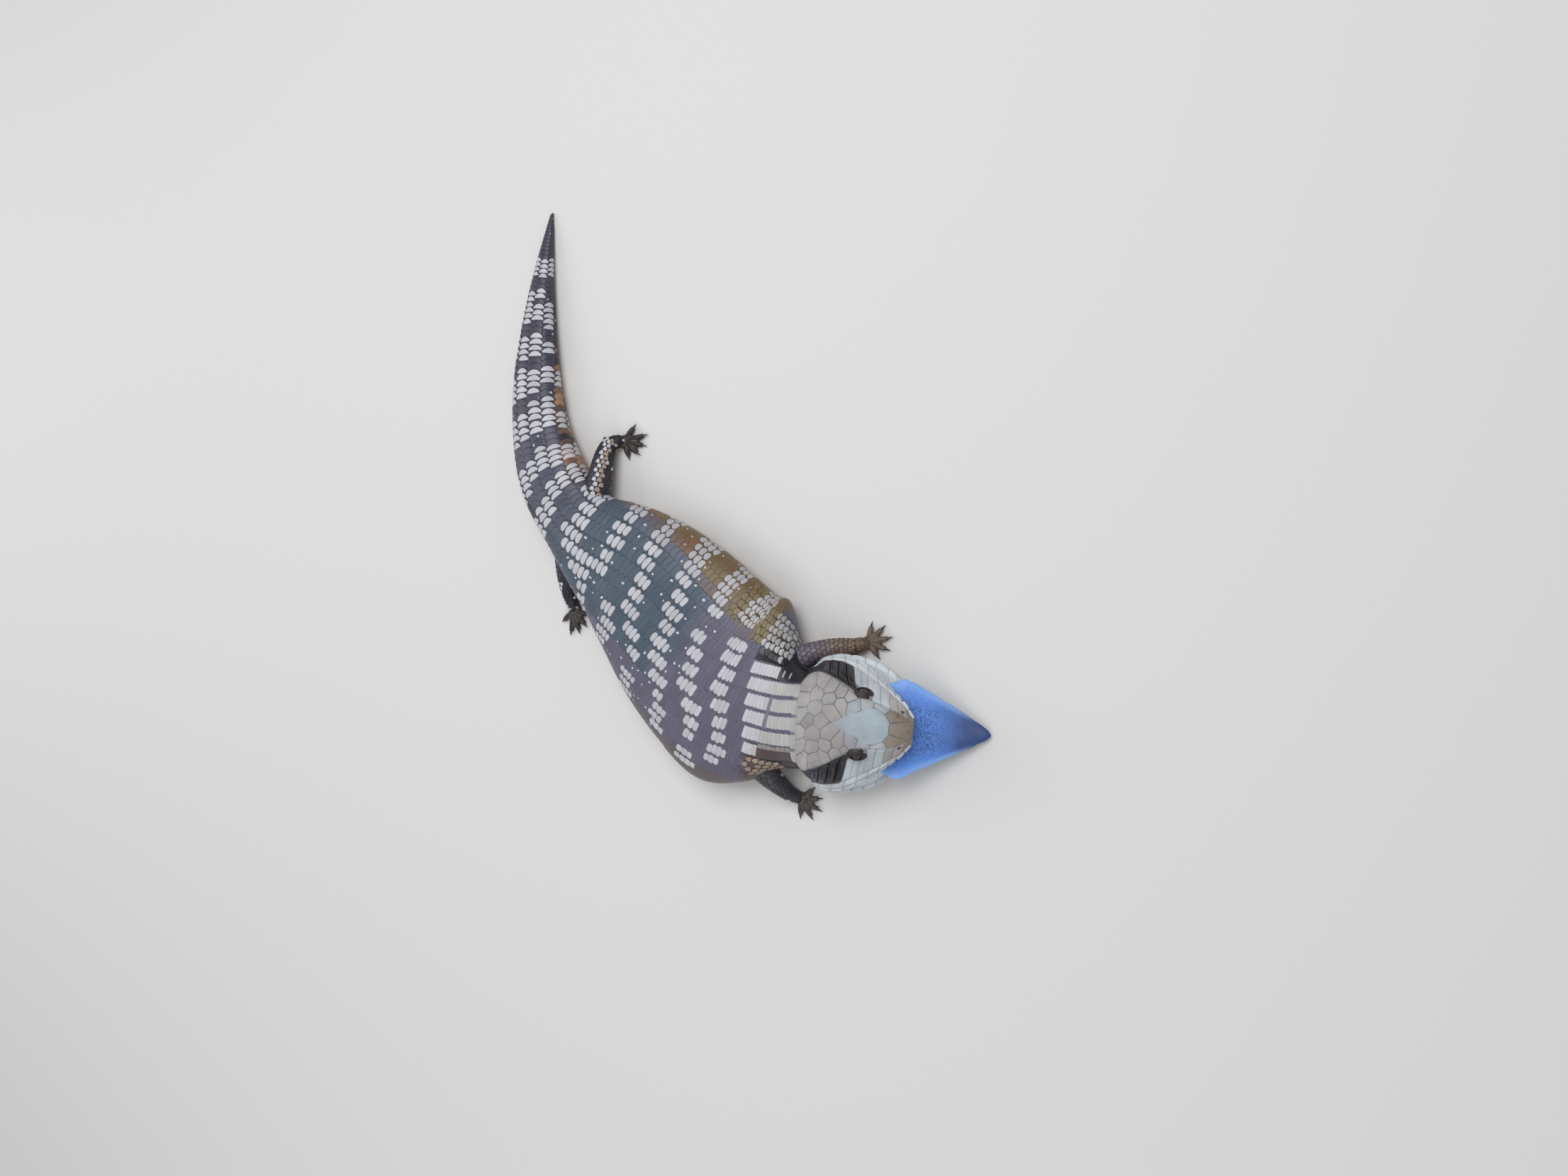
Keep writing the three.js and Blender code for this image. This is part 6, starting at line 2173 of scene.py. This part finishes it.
class SKINK_OT_stage(bpy.types.Operator):
    """Make the floor, the lights and the camera"""

    bl_idname = "skink.stage"
    bl_label = "Stage"

    # The photo's camera: its place, the three ways of its frame, and its lens
    CAMERA = (215.3, 304.5, 661.0)
    RIGHT = (0.570, 0.704, -0.4226)
    ABOVE = (-0.777, 0.629, 0.0)
    BACK = (0.266, 0.328, 0.906)
    FOCAL_PIXELS = 1660
    IMAGE_WIDTH = 2212
    SENSOR = 36.0
    FLOOR_HALF = 3000

    def execute(self, context):
        corners = np.array([(-1, -1, 0), (1, -1, 0), (1, 1, 0), (-1, 1, 0)]) * self.FLOOR_HALF
        floor = mesh_object("floor", corners, [[0, 1, 2, 3]])
        _, end = new_material("floor")
        floor.data.materials.append(end(Base_Color=seen(226, 224, 220), Roughness=0.9))
        floor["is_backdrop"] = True
        self.light("key_light", (-350, 500, 1300), 900, 10)
        self.light("fill_light", (900, -500, 900), 900, 3.5)
        self.light("rim_light", (-900, -700, 700), 700, 3.0)
        world = bpy.data.worlds.new("studio")
        world.use_nodes = True
        background = world.node_tree.nodes["Background"].inputs
        background["Color"].default_value = (0.86, 0.9, 1.0, 1)
        background["Strength"].default_value = 0.42
        context.scene.world = world
        context.scene.view_settings.view_transform = "Standard"
        data = bpy.data.cameras.new("photo_camera")
        data.sensor_width = self.SENSOR
        data.sensor_fit = "HORIZONTAL"
        data.lens = self.FOCAL_PIXELS / self.IMAGE_WIDTH * self.SENSOR
        data.clip_start, data.clip_end = 0.01, 20
        camera = linked("photo_camera", data)
        turn = Matrix((self.RIGHT, self.ABOVE, self.BACK)).transposed().to_4x4()
        camera.matrix_world = Matrix.Translation(Vector(self.CAMERA) * MM) @ turn
        context.scene.camera = camera
        return {"FINISHED"}

    def light(self, name, place, size, power):
        """A square area light aimed at the middle of the animal."""
        data = bpy.data.lights.new(name, "AREA")
        data.size = size * MM
        data.energy = power
        lamp = linked(name, data)
        lamp.location = Vector(place) * MM
        lamp.rotation_euler = (-lamp.location).to_track_quat("-Z", "Y").to_euler()


class SKINK_PT_panel(bpy.types.Panel):
    """Lists the pieces of the skink"""

    bl_label = "Skink"
    bl_space_type = "VIEW_3D"
    bl_region_type = "UI"
    bl_category = "Skink"

    def draw(self, context):
        layout = self.layout
        for operator in OPERATORS:
            layout.operator(operator.bl_idname)
        for settings in (context.scene.skink_sizes, context.scene.skink_colours):
            box = layout.box()
            for name in type(settings).__annotations__:
                box.prop(settings, name)


OPERATORS = (
    SKINK_OT_skin,
    SKINK_OT_coat,
    SKINK_OT_shields,
    SKINK_OT_eyes,
    SKINK_OT_tongue,
    SKINK_OT_claws,
    SKINK_OT_stage,
)
CLASSES = (SkinkSizes, SkinkColours, *OPERATORS, SKINK_PT_panel)


def register():
    for item in CLASSES:
        bpy.utils.register_class(item)
    bpy.types.Scene.skink_sizes = bpy.props.PointerProperty(type=SkinkSizes)
    bpy.types.Scene.skink_colours = bpy.props.PointerProperty(type=SkinkColours)


def unregister():
    del bpy.types.Scene.skink_colours
    del bpy.types.Scene.skink_sizes
    for item in reversed(CLASSES):
        bpy.utils.unregister_class(item)


def main():
    register()
    for operator in OPERATORS:
        group, name = operator.bl_idname.split(".")
        getattr(getattr(bpy.ops, group), name)()
    boxes = {"cad": cad_box, "dressed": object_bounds()}
    {name: [list(corner) for corner in box] for name, box in boxes.items()}


if __name__ == "__main__":
    main()
